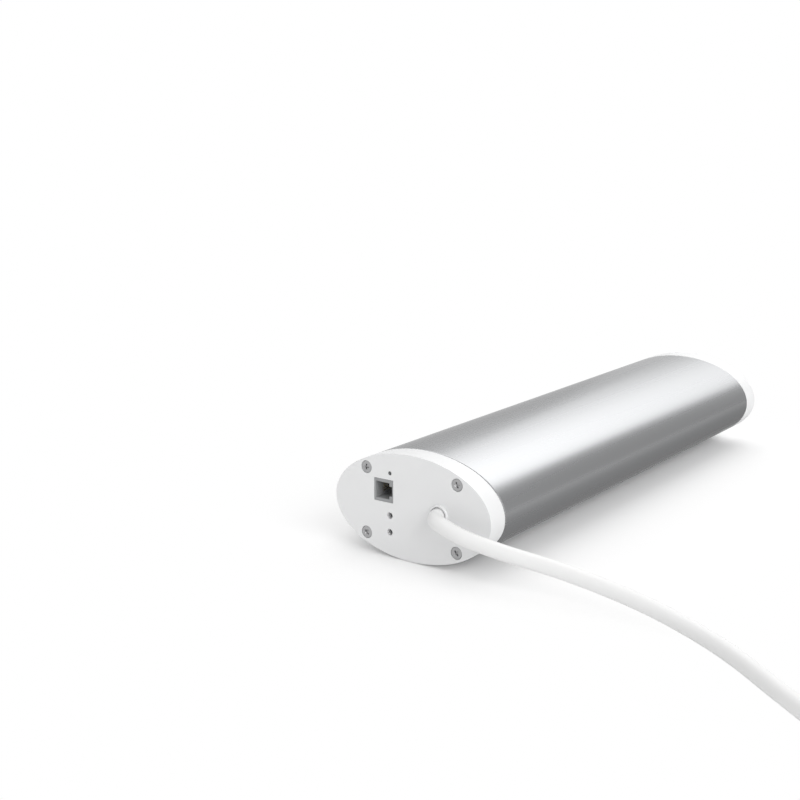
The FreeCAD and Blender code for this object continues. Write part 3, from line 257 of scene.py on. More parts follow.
# Circuit board: solder mask over faint copper tracks, drilled spots of bare tin
def boardFinish(name, look):
    material, tree, shader, place = startMaterial(name)
    tracks = tree.nodes.new("ShaderNodeTexBrick")
    tracks.offset = look["trackOffset"]
    tree.links.new(place, tracks.inputs["Vector"])
    for label, value in look["tracks"].items():
        tracks.inputs[label].default_value = value
    pads = tree.nodes.new("ShaderNodeTexVoronoi")
    tree.links.new(place, pads.inputs["Vector"])
    for label, value in look["pads"].items():
        pads.inputs[label].default_value = value
    pad = addRange(tree, pads.outputs["Distance"], *look["padRim"], 1.0, 0.0)
    coating = addColorMix(tree, tracks.outputs["Fac"], *look["tones"])
    tree.links.new(addColorMix(tree, pad, coating, look["padTone"]), shader.inputs["Base Color"])
    tree.links.new(addMath(tree, "MULTIPLY", pad, look["padMetal"]), shader.inputs["Metallic"])
    skin = placeGroup(tree, mouldedSkin, place, Pit_Scale=look["pits"], Cloud_Scale=look["clouds"])
    tree.links.new(varyRoughness(tree, skin.outputs["Cloud"], look), shader.inputs["Roughness"])
    pitted = addMath(tree, "MULTIPLY", skin.outputs["Height"], look["pitShare"])
    addBump(tree, shader, addMath(tree, "ADD", tracks.outputs["Fac"], pitted), look["depth"])
    return material


# Wire wound or sheet stacked: even lines across one direction
def layeredFinish(name, look):
    material, tree, shader, place = startMaterial(name)
    wave = tree.nodes.new("ShaderNodeTexWave")
    wave.bands_direction = look["across"]
    wave.inputs["Scale"].default_value = look["lineScale"]
    wave.inputs["Distortion"].default_value = look["waver"]
    wave.inputs["Detail"].default_value = 1.0
    tree.links.new(place, wave.inputs["Vector"])
    tree.links.new(addColorMix(tree, wave.outputs["Fac"], *look["tones"]), shader.inputs["Base Color"])
    skin = placeGroup(tree, mouldedSkin, place, Pit_Scale=look["pits"], Cloud_Scale=look["clouds"])
    tree.links.new(varyRoughness(tree, skin.outputs["Cloud"], look), shader.inputs["Roughness"])
    shader.inputs["Metallic"].default_value = look["metallic"]
    addBump(tree, shader, wave.outputs["Fac"], look["depth"])
    return material


alongX = (0.05, 1.0, 1.0)  # lines drawn out along X
alongY = (1.0, 0.015, 1.0)  # and along Y
roundY = (0.25, 1.0, 0.25)  # lines that run round an axis along Y
skinOfLayers = {"pits": 2500.0, "clouds": 150.0}

finishMakers = {
    "anodised_aluminium": (metalFinish, {
        "tones": ((0.443, 0.448, 0.456), (0.439, 0.444, 0.452)),
        "roughness": (0.269, 0.277),
        "edge": (0.70, 0.70, 0.70),
        "squeeze": alongY,
        "lines": 4200.0,
        "bands": 90.0,
        "depth": 0.0000002,
        "marks": 0.30,
        "markShine": 0.03,
    }),
    "white_plastic": (plasticFinish, {
        "tones": ((0.782, 0.785, 0.788), (0.766, 0.769, 0.773)),
        "roughness": (0.40, 0.48),
        "pits": 3200.0,
        "depth": 0.000012,
    }),
    # painted shade: the buttons' own dark grey is darkened further to near black, so that their deep holes
    # read as shadowed
    "button_grey": (plasticFinish, {
        "tones": ((0.020, 0.020, 0.021), (0.028, 0.028, 0.029)),
        "roughness": (0.54, 0.64),
        "depth": 0.000006,
    }),
    "cord_white": (plasticFinish, {
        "tones": ((0.82, 0.82, 0.818), (0.80, 0.80, 0.797)),
        "roughness": (0.46, 0.54),
        "pits": 2200.0,
        "clouds": 35.0,
        "depth": 0.000015,
    }),
    "plug_white": (plasticFinish, {
        "tones": ((0.79, 0.79, 0.786), (0.765, 0.765, 0.761)), "roughness": (0.36, 0.46), "depth": 0.00002,
    }),
    "jack_grey": (plasticFinish, {
        "tones": ((0.31, 0.315, 0.32), (0.275, 0.28, 0.285)), "roughness": (0.34, 0.42), "depth": 0.00001,
    }),
    "black_plastic": (plasticFinish, {
        "tones": ((0.024, 0.024, 0.026), (0.036, 0.036, 0.038)), "roughness": (0.36, 0.5), "depth": 0.00002,
    }),
    "black_rubber": (plasticFinish, {
        "tones": ((0.018, 0.018, 0.018), (0.03, 0.03, 0.03)), "roughness": (0.72, 0.84), "depth": 0.00004,
    }),
    "gear_plastic": (plasticFinish, {
        "tones": ((0.78, 0.76, 0.68), (0.73, 0.71, 0.63)), "roughness": (0.34, 0.44), "depth": 0.00001,
    }),
    "terminal_green": (plasticFinish, {
        "tones": ((0.06, 0.30, 0.13), (0.05, 0.25, 0.11)), "roughness": (0.36, 0.46), "depth": 0.00002,
    }),
    "brush_carbon": (plasticFinish, {
        "tones": ((0.035, 0.035, 0.036), (0.065, 0.063, 0.06)), "roughness": (0.55, 0.7), "depth": 0.00003,
    }),
    "magnet_ferrite": (plasticFinish, {
        "tones": ((0.055, 0.056, 0.06), (0.085, 0.085, 0.09)), "roughness": (0.5, 0.66), "depth": 0.00003,
    }),
    "lead_red": (plasticFinish, {
        "tones": ((0.52, 0.03, 0.025), (0.44, 0.025, 0.02)), "roughness": (0.4, 0.5), "depth": 0.00001,
    }),
    "lead_brown": (plasticFinish, {
        "tones": ((0.17, 0.075, 0.035), (0.14, 0.06, 0.03)), "roughness": (0.4, 0.5), "depth": 0.00001,
    }),
    "screw_steel": (metalFinish, {
        "tones": ((0.43, 0.43, 0.435), (0.38, 0.38, 0.385)),
        "roughness": (0.46, 0.56),
        "squeeze": roundY,
        "lines": 6000.0,
        "bands": 1500.0,
    }),
    "lock_steel": (metalFinish, {
        "tones": ((0.66, 0.66, 0.655), (0.60, 0.60, 0.595)), "roughness": (0.32, 0.44), "bands": 900.0,
    }),
    "plate_steel": (metalFinish, {
        "tones": ((0.60, 0.595, 0.58), (0.54, 0.535, 0.52)), "roughness": (0.3, 0.45), "squeeze": alongX,
    }),
    "shaft_steel": (metalFinish, {
        "tones": ((0.64, 0.64, 0.635), (0.57, 0.57, 0.565)),
        "roughness": (0.20, 0.30),
        "squeeze": roundY,
        "lines": 7000.0,
        "bands": 1800.0,
        "depth": 0.000006,
    }),
    "can_steel": (metalFinish, {
        "tones": ((0.62, 0.62, 0.61), (0.56, 0.56, 0.55)), "roughness": (0.28, 0.4), "squeeze": roundY,
    }),
    "bearing_bronze": (metalFinish, {
        "tones": ((0.60, 0.38, 0.17), (0.52, 0.32, 0.14)), "roughness": (0.34, 0.46), "bands": 1500.0,
    }),
    "pinion_brass": (metalFinish, {
        "tones": ((0.78, 0.60, 0.28), (0.70, 0.53, 0.24)), "roughness": (0.24, 0.36), "squeeze": roundY,
    }),
    "shield_tin": (metalFinish, {
        "tones": ((0.72, 0.72, 0.71), (0.66, 0.66, 0.65)), "roughness": (0.28, 0.4), "bands": 500.0,
    }),
    "pin_nickel": (metalFinish, {
        "tones": ((0.70, 0.69, 0.66), (0.64, 0.63, 0.60)), "roughness": (0.18, 0.28), "bands": 1200.0,
    }),
    "contact_gold": (metalFinish, {
        "tones": ((0.62, 0.52, 0.32), (0.54, 0.45, 0.27)), "roughness": (0.2, 0.3), "bands": 2500.0,
    }),
    "light_clear": (clearFinish, {
        "tones": ((0.55, 0.57, 0.58), (0.46, 0.48, 0.49)),
        "roughness": (0.08, 0.16),
        "clear": 0.85,
        "ior": 1.49,
        "pits": 2500.0,
        "clouds": 300.0,
    }),
    "board_green": (boardFinish, {
        "tones": ((0.018, 0.14, 0.06), (0.035, 0.20, 0.085)),
        "tracks": {"Scale": 95.0, "Mortar Size": 0.018, "Brick Width": 1.7, "Row Height": 0.31},
        "trackOffset": 0.37,
        "pads": {"Scale": 160.0, "Randomness": 0.35},
        "padRim": (0.10, 0.14),
        "padTone": (0.75, 0.74, 0.70),
        "padMetal": 0.9,
        "roughness": (0.3, 0.4),
        "pits": 1800.0,
        "clouds": 200.0,
        "pitShare": 0.2,
        "depth": 0.00003,
    }),
    "transformer_yellow": (layeredFinish, {
        "tones": ((0.78, 0.60, 0.10), (0.70, 0.52, 0.08)),
        "across": "Z",
        "lineScale": 160.0,
        "waver": 0.3,
        "roughness": (0.3, 0.4),
        "metallic": 0.0,
        "depth": 0.00005,
        **skinOfLayers,
    }),
    "core_steel": (layeredFinish, {
        "tones": ((0.42, 0.42, 0.42), (0.30, 0.30, 0.30)),
        "across": "Y",
        "lineScale": 320.0,
        "waver": 0.0,
        "roughness": (0.35, 0.5),
        "metallic": 1.0,
        "depth": 0.00004,
        **skinOfLayers,
    }),
    "copper": (layeredFinish, {
        "tones": ((0.72, 0.30, 0.13), (0.50, 0.18, 0.07)),
        "across": "X",
        "lineScale": 300.0,
        "waver": 0.6,
        "roughness": (0.24, 0.36),
        "metallic": 1.0,
        "depth": 0.00008,
        **skinOfLayers,
    }),
}

finishes = {slot: make(slot + "Finish", look) for slot, (make, look) in finishMakers.items()}
for node in nodes.values():
    slotName = node.data.materials[0].name.split(".")[0]
    node.material_slots[0].link = "OBJECT"
    node.material_slots[0].material = finishes[slotName]
print("finishes:", len(finishes))


# --- making and rounding pieces
def keepFlats(mesh, ratio=12.0, bend=8.0):  # a wide flat keeps its own shading beside a narrow rounding
    work = bmesh.new()
    work.from_mesh(mesh)
    for edge in work.edges:
        if len(edge.link_faces) != 2:
            continue
        sizes = sorted(face.calc_area() for face in edge.link_faces)
        if sizes[1] > ratio * sizes[0] and edge.calc_face_angle(0.0) > math.radians(bend):
            edge.smooth = False
    work.to_mesh(mesh)
    work.free()


def addPiece(name, mesh, body, slotName, replaced, sharpFrom=32.0):
    mesh.name = name
    mesh.materials.clear()
    mesh.materials.append(finishes[slotName])
    for face in mesh.polygons:
        face.material_index = 0
    mesh.shade_smooth()
    mesh.set_sharp_from_angle(angle=math.radians(sharpFrom))
    keepFlats(mesh)
    piece = bpy.data.objects.new(name, mesh)
    scene.collection.objects.link(piece)
    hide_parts(*replaced)
    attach(piece, body)
    return piece


def evaluatedMesh(worker):
    graph = bpy.context.evaluated_depsgraph_get()
    graph.update()
    mesh = bpy.data.meshes.new_from_object(worker.evaluated_get(graph))
    bpy.data.objects.remove(worker)
    return mesh


def linkedWorker(name, mesh):
    worker = bpy.data.objects.new(name, mesh)
    scene.collection.objects.link(worker)
    return worker


def cleanCopy(nodeName, weldUnder=2e-6, flatUnder=0.4):  # metres and degrees
    work = bmesh.new()
    work.from_mesh(nodes[nodeName].data)
    bmesh.ops.remove_doubles(work, verts=work.verts, dist=weldUnder)
    limit = math.radians(flatUnder)
    bmesh.ops.dissolve_limit(work, angle_limit=limit, verts=work.verts, edges=work.edges)
    mesh = bpy.data.meshes.new(nodeName + "Copy")
    work.to_mesh(mesh)
    work.free()
    return mesh


edgeRound = {  # width and segments of each bevel
    "service_end_cap": (0.12 * mm, 2),
    "drive_end_cap": (0.12 * mm, 2),
    "modular_jack": (0.12 * mm, 2),
    "set_button": (0.2 * mm, 3),
    "mode_button": (0.2 * mm, 3),
    "lock_ring": (0.18 * mm, 2),
    "output_shaft": (0.12 * mm, 2),
    "plug_body": (0.8 * mm, 3),
    "plug_earth_clips": (0.3 * mm, 3),
}


def addRounded(name, nodeName, body, slotName, sharperThan=40.0):
    worker = linkedWorker(nodeName + "Worker", cleanCopy(nodeName))
    bevel = worker.modifiers.new("edgeRound", "BEVEL")
    bevel.width, bevel.segments = edgeRound[nodeName]
    bevel.limit_method = "ANGLE"
    bevel.angle_limit = math.radians(sharperThan)
    bevel.use_clamp_overlap = True
    return addPiece(name, evaluatedMesh(worker), body, slotName, [nodeName])


def latheMesh(name, profile, steps=48, centre=(0.0, 0.0)):
    work = bmesh.new()
    rings = []
    for radius, y in profile:
        if radius < 1e-7:  # a point on the axis
            rings.append([work.verts.new((centre[0], y, centre[1]))])
            continue
        ring = []
        for step in range(steps):
            angle = 2 * math.pi * step / steps
            x, z = centre[0] + radius * math.cos(angle), centre[1] + radius * math.sin(angle)
            ring.append(work.verts.new((x, y, z)))
        rings.append(ring)
    for first, second in zip(rings, rings[1:]):
        for step in range(steps):
            after = (step + 1) % steps
            if len(first) == 1:
                work.faces.new((first[0], second[step], second[after]))
            elif len(second) == 1:
                work.faces.new((first[step], first[after], second[0]))
            else:
                work.faces.new((first[step], first[after], second[after], second[step]))
    bmesh.ops.recalc_face_normals(work, faces=work.faces)
    mesh = bpy.data.meshes.new(name)
    work.to_mesh(mesh)
    work.free()
    return mesh


def nurbsCurve(name, places, radius, resolution, sides):
    curve = bpy.data.curves.new(name, "CURVE")
    curve.dimensions = "3D"
    spline = curve.splines.new("NURBS")
    spline.points.add(len(places) - 1)
    for point, place in zip(spline.points, places):
        point.co = (*place, 1.0)
    spline.order_u = 3
    spline.use_endpoint_u = True
    spline.resolution_u = resolution
    curve.bevel_depth = radius
    curve.bevel_resolution = sides
    curve.use_fill_caps = True
    return curve


def roundedStep(fromPoint, corner, toPoint, radius, steps=4):
    a, c, b = Vector(fromPoint), Vector(corner), Vector(toPoint)
    start = c + (a - c).normalized() * radius
    end = c + (b - c).normalized() * radius
    points = []
    for step in range(steps + 1):
        t = step / steps
        points.append(tuple(start * (1 - t) ** 2 + c * 2 * t * (1 - t) + end * t ** 2))
    return points


def newTree(name, inputs):
    tree = bpy.data.node_groups.new(name, "GeometryNodeTree")
    tree.interface.new_socket("Geometry", in_out="INPUT", socket_type="NodeSocketGeometry")
    for label, kind, value in inputs:
        socket = tree.interface.new_socket(label, in_out="INPUT", socket_type="NodeSocket" + kind)
        if value is not None:
            socket.default_value = value
    tree.interface.new_socket("Geometry", in_out="OUTPUT", socket_type="NodeSocketGeometry")
    return tree, tree.nodes.new("NodeGroupInput"), tree.nodes.new("NodeGroupOutput")


def addNode(tree, kind, settings=None, **inputs):
    node = tree.nodes.new(kind)
    for label, value in (settings or {}).items():
        setattr(node, label, value)
    for label, value in inputs.items():
        feed(tree, node.inputs[label.replace("_", " ")], value)
    return node


def finishTree(tree, geometry, material, target):
    whole = addNode(tree, "GeometryNodeRealizeInstances", Geometry=geometry).outputs["Geometry"]
    painted = addNode(tree, "GeometryNodeSetMaterial", Geometry=whole, Material=material)
    tree.links.new(painted.outputs["Geometry"], target.inputs["Geometry"])


def meshFromTree(name, tree, values):
    worker = linkedWorker(name + "Worker", bpy.data.meshes.new(name + "Empty"))
    modifier = worker.modifiers.new("maker", "NODES")
    modifier.node_group = tree
    for item in tree.interface.items_tree:
        if item.item_type == "SOCKET" and item.in_out == "INPUT" and item.name in values:
            modifier[item.identifier] = values[item.name]
    return evaluatedMesh(worker)


# --- housing tube: an oval extrusion with screw ports and board guides
tubeSetup = {
    "Width": 86.0 * mm,
    "Height": 50.0 * mm,
    "Wall": 1.6 * mm,
    "Length": 276.0 * mm,
    "Middle": -8.0 * mm,
    "Edge": 0.25 * mm,
    "Port X": 25.0 * mm,
    "Port Z": 15.7 * mm,
    "Port Radius": 3.55 * mm,
    "Bore Radius": 1.55 * mm,
    "Guide Inner": 34.13 * mm,
    "Steps": 192,
}

guideRibs = {
    "thickness": 1.2 * mm,
    "rows": [(-9.75 * mm, 38.4 * mm), (-6.65 * mm, 40.2 * mm)],  # level from the axis, then outer edge
}
portSides = 28
edgeSteps = 2

tubeInputs = [
    (label, "Int" if isinstance(value, int) else "Float", value) for label, value in tubeSetup.items()
]
tubeTree, source, target = newTree("ovalExtrusion", [*tubeInputs, ("Finish", "Material", None)])


def sweptRing(tree, path, wall, length, edge=None):
    section = addNode(tree, "GeometryNodeCurvePrimitiveQuadrilateral", Width=wall, Height=length)
    profile = section.outputs["Curve"]
    if edge is not None:
        fillet = addNode(
            tree, "GeometryNodeFilletCurve", {"mode": "POLY"}, Curve=profile, Radius=edge, Count=edgeSteps
        )
        profile = fillet.outputs["Curve"]
    return addNode(tree, "GeometryNodeCurveToMesh", Curve=path, Profile_Curve=profile).outputs["Mesh"]


def combined(tree, x=0.0, y=0.0, z=0.0):
    return addNode(tree, "ShaderNodeCombineXYZ", X=x, Y=y, Z=z).outputs["Vector"]


values = source.outputs
wholeX = addMath(tubeTree, "SUBTRACT", values["Width"], values["Wall"])
wholeZ = addMath(tubeTree, "SUBTRACT", values["Height"], values["Wall"])
halfX = addMath(tubeTree, "MULTIPLY", wholeX, 0.5)
halfZ = addMath(tubeTree, "MULTIPLY", wholeZ, 0.5)
unitRing = addNode(tubeTree, "GeometryNodeCurvePrimitiveCircle", Resolution=values["Steps"], Radius=1.0)
ovalScale = combined(tubeTree, halfX, halfZ, 1.0)
ovalPath = addNode(
    tubeTree, "GeometryNodeTransform", Geometry=unitRing.outputs["Curve"], Scale=ovalScale
)
tubeWall = sweptRing(tubeTree, ovalPath.outputs["Geometry"], values["Wall"], values["Length"], values["Edge"])
portWall = addMath(tubeTree, "SUBTRACT", values["Port Radius"], values["Bore Radius"])
halfPortWall = addMath(tubeTree, "MULTIPLY", portWall, 0.5)
portMiddle = addMath(tubeTree, "SUBTRACT", values["Port Radius"], halfPortWall)
portRing = addNode(tubeTree, "GeometryNodeCurvePrimitiveCircle", Resolution=portSides, Radius=portMiddle)
port = sweptRing(tubeTree, portRing.outputs["Curve"], portWall, values["Length"])
portGrid = addNode(
    tubeTree,
    "GeometryNodeMeshGrid",
    Size_X=addMath(tubeTree, "MULTIPLY", values["Port X"], 2.0),
    Size_Y=addMath(tubeTree, "MULTIPLY", values["Port Z"], 2.0),
    Vertices_X=2,
    Vertices_Y=2,
)
ports = addNode(tubeTree, "GeometryNodeInstanceOnPoints", Points=portGrid.outputs["Mesh"], Instance=port)
parts = [tubeWall, ports.outputs["Instances"]]
for level, outer in guideRibs["rows"]:  # below and above the board
    guideWidth = addMath(tubeTree, "SUBTRACT", outer, values["Guide Inner"])
    ribSize = combined(tubeTree, guideWidth, guideRibs["thickness"], values["Length"])
    rib = addNode(tubeTree, "GeometryNodeMeshCube", Size=ribSize).outputs["Mesh"]
    bothEdges = addMath(tubeTree, "ADD", values["Guide Inner"], outer)
    for side in (1.0, -1.0):
        ribPlace = combined(tubeTree, addMath(tubeTree, "MULTIPLY", bothEdges, side / 2), level)
        moved = addNode(tubeTree, "GeometryNodeTransform", Geometry=rib, Translation=ribPlace)
        parts.append(moved.outputs["Geometry"])
joined = tubeTree.nodes.new("GeometryNodeJoinGeometry")
for part in parts:
    tubeTree.links.new(part, joined.inputs["Geometry"])
upright = addNode(
    tubeTree,
    "GeometryNodeTransform",
    Geometry=joined.outputs["Geometry"],
    Rotation=(math.radians(90), 0.0, 0.0),
    Translation=combined(tubeTree, 0.0, values["Middle"], axisHeight),
)
finishTree(tubeTree, upright.outputs["Geometry"], values["Finish"], target)

tubeMesh = meshFromTree("housingTube", tubeTree, {**tubeSetup, "Finish": finishes["anodised_aluminium"]})
addPiece("housingTube", tubeMesh, mainBody, "anodised_aluminium", ["housing_tube"])
print("housing tube:", len(tubeMesh.polygons), "faces")


# --- both white end caps, with their edges eased
addRounded("serviceCap", "service_end_cap", mainBody, "white_plastic")
addRounded("driveCap", "drive_end_cap", mainBody, "white_plastic")
print("end caps")


# --- cross recess screws of both caps
screwSetup = {
    "headRadius": 2.85 * mm,
    "headHeight": 2.0 * mm,
    "headRound": 0.35 * mm,
    "sides": 40,
    "recess": (3.9 * mm, 1.0 * mm, 0.8 * mm),  # reach, width and depth of the cross
    "recessNarrows": (0.45, 0.7),  # share of the reach and of the width at its bottom
    "shankRadius": 1.5 * mm,
    "shankLength": 14.0 * mm,
    "tipLength": 1.0 * mm,
    "tipShare": 0.4,
    "setBack": 0.1 * mm,
    "placeX": 25.0 * mm,
    "placeZ": 15.702 * mm,
    "seed": 5,
}


def crossScrewMesh(name, s):
    rim, neck = (s["headRadius"], 0.0), (s["headRadius"], s["headHeight"])
    shankEnd = s["headHeight"] + s["shankLength"]
    profile = [(0.0, 0.0), *roundedStep((0.0, 0.0), rim, neck, s["headRound"])]
    profile += [
        neck,
        (s["shankRadius"], s["headHeight"]),
        (s["shankRadius"], shankEnd - s["tipLength"]),
        (s["shankRadius"] * s["tipShare"], shankEnd),
        (0.0, shankEnd),
    ]
    screw = linkedWorker(name, latheMesh(name, profile, s["sides"]))
    reach, width, depth = s["recess"]
    work = bmesh.new()
    for turn in (0.0, 90.0):
        made = bmesh.ops.create_cube(work, size=1.0)["verts"]
        bmesh.ops.scale(work, vec=(reach, depth * 2, width), verts=made)
        for vertex in made:
            if vertex.co.y > 0:
                vertex.co.x *= s["recessNarrows"][0]
                vertex.co.z *= s["recessNarrows"][1]
        turned = Matrix.Rotation(math.radians(turn), 3, "Y")
        bmesh.ops.rotate(work, cent=(0, 0, 0), matrix=turned, verts=made)
    cutterMesh = bpy.data.meshes.new(name + "Cutter")
    work.to_mesh(cutterMesh)
    work.free()
    cutter = linkedWorker(name + "Cutter", cutterMesh)
    cut = screw.modifiers.new("recess", "BOOLEAN")
    cut.operation = "DIFFERENCE"
    cut.solver = "EXACT"
    cut.use_self = True
    cut.object = cutter
    mesh = evaluatedMesh(screw)
    bpy.data.objects.remove(cutter)
    return mesh


screwTree, source, target = newTree("screwCorners", [
    ("Screw", "Object", None),
    ("Place X", "Float", 0.025),
    ("Place Z", "Float", 0.0157),
    ("Face", "Float", 0.0),
    ("Facing", "Float", 0.0),
    ("Seed", "Int", 1),
    ("Finish", "Material", None),
])
values = source.outputs
corners = addNode(
    screwTree,
    "GeometryNodeMeshGrid",
    Size_X=addMath(screwTree, "MULTIPLY", values["Place X"], 2.0),
    Size_Y=addMath(screwTree, "MULTIPLY", values["Place Z"], 2.0),
    Vertices_X=2,
    Vertices_Y=2,
)
standing = addNode(
    screwTree,
    "GeometryNodeTransform",
    Geometry=corners.outputs["Mesh"],
    Rotation=(math.radians(90), 0.0, 0.0),
    Translation=combined(screwTree, 0.0, values["Face"], axisHeight),
)
turn = addNode(screwTree, "FunctionNodeRandomValue", {"data_type": "FLOAT"}, Seed=values["Seed"])
for socket, angle in ((turn.inputs[2], 0.0), (turn.inputs[3], math.pi / 2)):  # least and most
    socket.default_value = angle
model = addNode(screwTree, "GeometryNodeObjectInfo", Object=values["Screw"])
placed = addNode(
    screwTree,
    "GeometryNodeInstanceOnPoints",
    Points=standing.outputs["Geometry"],
    Instance=model.outputs["Geometry"],
    Rotation=combined(screwTree, 0.0, turn.outputs[1], values["Facing"]),
)
finishTree(screwTree, placed.outputs["Instances"], values["Finish"], target)

screwModel = linkedWorker("screwModel", crossScrewMesh("capScrew", screwSetup))
for pieceName, nodeName, face, facing in (
    ("serviceCapScrews", "service_cap_screws", serviceFace + screwSetup["setBack"], 0.0),
    ("driveCapScrews", "drive_cap_screws", driveFloor - screwSetup["setBack"], math.pi),
):
    mesh = meshFromTree(pieceName, screwTree, {
        "Screw": screwModel,
        "Place X": screwSetup["placeX"],
        "Place Z": screwSetup["placeZ"],
        "Face": face,
        "Facing": facing,
        "Seed": screwSetup["seed"],
        "Finish": finishes["screw_steel"],
    })
    addPiece(pieceName, mesh, mainBody, "screw_steel", [nodeName])
bpy.data.objects.remove(screwModel)
print("cap screws")


# --- cord collar on the service face
collarSetup = {
    "centre": (15.5 * mm, axisHeight),
    "mouth": -159.0 * mm,
    "collarRadius": 5.0 * mm,
    "collarRound": (0.55 * mm, 5),  # radius and steps
    "boreRadius": 4.0 * mm,
    "boreRound": (0.3 * mm, 3),
    "sides": 64,
    "cordStart": -157.5 * mm,
    "roomRadius": 2.9 * mm,
    "neckRadius": 4.6 * mm,
    "flangeRadius": 6.2 * mm,
    "floorBack": -155.5 * mm,
    "flangeEnd": -154.0 * mm,
    "end": -149.0 * mm,
}


def collarMesh(s):
    boreEnd, boreMouth = (s["boreRadius"], s["cordStart"]), (s["boreRadius"], s["mouth"])
    collarMouth, collarFoot = (s["collarRadius"], s["mouth"]), (s["collarRadius"], serviceFace)
    profile = [(s["roomRadius"], s["end"]), (s["roomRadius"], s["cordStart"]), boreEnd]
    profile += roundedStep(boreEnd, boreMouth, collarMouth, *s["boreRound"])
    profile += roundedStep(boreMouth, collarMouth, collarFoot, *s["collarRound"])
    profile += [
        collarFoot,
        (s["neckRadius"], serviceFace),
        (s["neckRadius"], s["floorBack"]),
        (s["flangeRadius"], s["floorBack"]),
        (s["flangeRadius"], s["flangeEnd"]),
        (s["neckRadius"], s["flangeEnd"]),
        (s["neckRadius"], s["end"]),
        (s["roomRadius"], s["end"]),
    ]
    return latheMesh("cordCollar", profile, s["sides"], s["centre"])


addPiece("cordCollar", collarMesh(collarSetup), mainBody, "white_plastic", ["cable_gland"])


# --- light guide with a shallow domed end
lightSetup = {
    "centre": (-11.66 * mm, 39.8 * mm),
    "radius": 0.93 * mm,
    "setBack": 0.02 * mm,
    "dome": 0.22 * mm,
    "domeSteps": 5,
    "sides": 32,
    "end": -142.3 * mm,
}


def lightGuideMesh(s):
    top = serviceFace + s["setBack"]
    profile = [(0.0, top)]
    for step in range(1, s["domeSteps"] + 1):
        share = step / s["domeSteps"]
        profile.append((s["radius"] * share, top + s["dome"] * share ** 2))
    profile += [(s["radius"], s["end"]), (0.0, s["end"])]
    return latheMesh("lightGuide", profile, s["sides"], s["centre"])


addPiece("lightGuide", lightGuideMesh(lightSetup), mainBody, "light_clear", ["light_guide"])
print("collar and light guide")


# --- jack: frame with eased edges, and four sprung contacts
addRounded("controlJack", "modular_jack", mainBody, "jack_grey")

contactSetup = {
    "count": 4,
    "pitch": 1.27 * mm,
    "wireRadius": 0.22 * mm,
    "bend": [  # x and y in millimetres
        (-19.25, -146.6), (-19.25, -149.6), (-19.2, -151.6), (-18.9, -152.9), (-18.5, -153.2)
    ],
    "middle": 31.2 * mm,
}

contactTree, source, target = newTree("sprungContacts", [
    ("Contact", "Object", None),
    ("Count", "Int", 4),
    ("Pitch", "Float", 0.00127),
    ("Start", "Float", 0.03),
    ("Finish", "Material", None),
])
values = source.outputs
row = addNode(
    contactTree,
    "GeometryNodeMeshLine",
    Count=values["Count"],
    Start_Location=combined(contactTree, 0.0, 0.0, values["Start"]),
    Offset=combined(contactTree, 0.0, 0.0, values["Pitch"]),
)
model = addNode(contactTree, "GeometryNodeObjectInfo", Object=values["Contact"])
placed = addNode(
    contactTree,
    "GeometryNodeInstanceOnPoints",
    Points=row.outputs["Mesh"],
    Instance=model.outputs["Geometry"],
)
finishTree(contactTree, placed.outputs["Instances"], values["Finish"], target)

bend = [(x * mm, y * mm, 0.0) for x, y in contactSetup["bend"]]
wireCurve = nurbsCurve("contactWire", bend, contactSetup["wireRadius"], resolution=12, sides=2)
contactModel = linkedWorker("contactModel", evaluatedMesh(linkedWorker("contactWire", wireCurve)))
contactMesh = meshFromTree("jackContacts", contactTree, {
    "Contact": contactModel,
    "Count": contactSetup["count"],
    "Pitch": contactSetup["pitch"],
    "Start": contactSetup["middle"] - contactSetup["pitch"] * (contactSetup["count"] - 1) / 2,
    "Finish": finishes["contact_gold"],
})
bpy.data.objects.remove(contactModel)
addPiece("jackContacts", contactMesh, mainBody, "contact_gold", ["jack_contacts"])
print("jack")


# --- buttons, lock ring and output shaft, each on its own body
addRounded("setButton", "set_button", "set_plunger", "button_grey")
addRounded("modeButton", "mode_button", "mode_plunger", "button_grey")
addRounded("lockRing", "lock_ring", "twist_lock", "lock_steel")
addRounded("outputShaft", "output_shaft", "output_drive", "shaft_steel")
print("moving pieces")


# --- mains lead: the route's own points, then the coil and the tail to the plug
leadSetup = {
    "diameter": 7.2 * mm,
    "length": 1.42,
    "route": [  # millimetres, from the collar to the floor beside the unit
        (15.5, -157.5, 25.0),
        (15.5, -160.4, 25.0),
        (17.6, -163.9, 24.5),
        (21.3, -166.1, 24.3),
        (26.7, -167.3, 23.2),
        (36.5, -167.8, 20.7),
        (54.0, -165.4, 17.6),
        (76.0, -160.6, 14.2),
        (98.0, -159.0, 10.8),
        (119.0, -160.0, 7.6),
        (140.0, -165.2, 4.8),
        (162.0, -176.6, 3.6),
        (186.0, -196.0, 3.6),
        (209.0, -213.5, 3.6),
        (233.0, -231.0, 3.6),
    ],
    "coilCentre": (291.0, -207.0),
    "coilStartAngle": -110.0,
    "coilStartRadius": 47.0,
    "turnSpacing": 8.0,
    "floorLevel": 3.6,
    "turnsIn": 1.75,
    "turnsClimbing": 0.5,
    "turnsOut": 2.0,
    "pointsPerTurn": 24,
    "lead": 7.2,  # straight run before and after the turns
    "lastRun": 22.0,
    "tailRuns": (20.0, 25.0, 21.0),
    "tailTurn": 17.0,
    "plugAxisHeight": 18.5,
}


def coilPoint(turns):
    s = leadSetup
    reversal = s["turnsIn"] + s["turnsClimbing"] / 2
    woundIn = min(turns, reversal) - max(0, turns - reversal)
    radius = s["coilStartRadius"] - s["turnSpacing"] * woundIn
    climbed = min(1.0, max(0.0, (turns - s["turnsIn"]) / s["turnsClimbing"]))
    angle = math.radians(s["coilStartAngle"]) + 2 * math.pi * turns
    level = s["floorLevel"] + s["turnSpacing"] * (1 - math.cos(math.pi * climbed)) / 2
    centre = s["coilCentre"]
    return Vector((centre[0] + radius * math.cos(angle), centre[1] + radius * math.sin(angle), level))


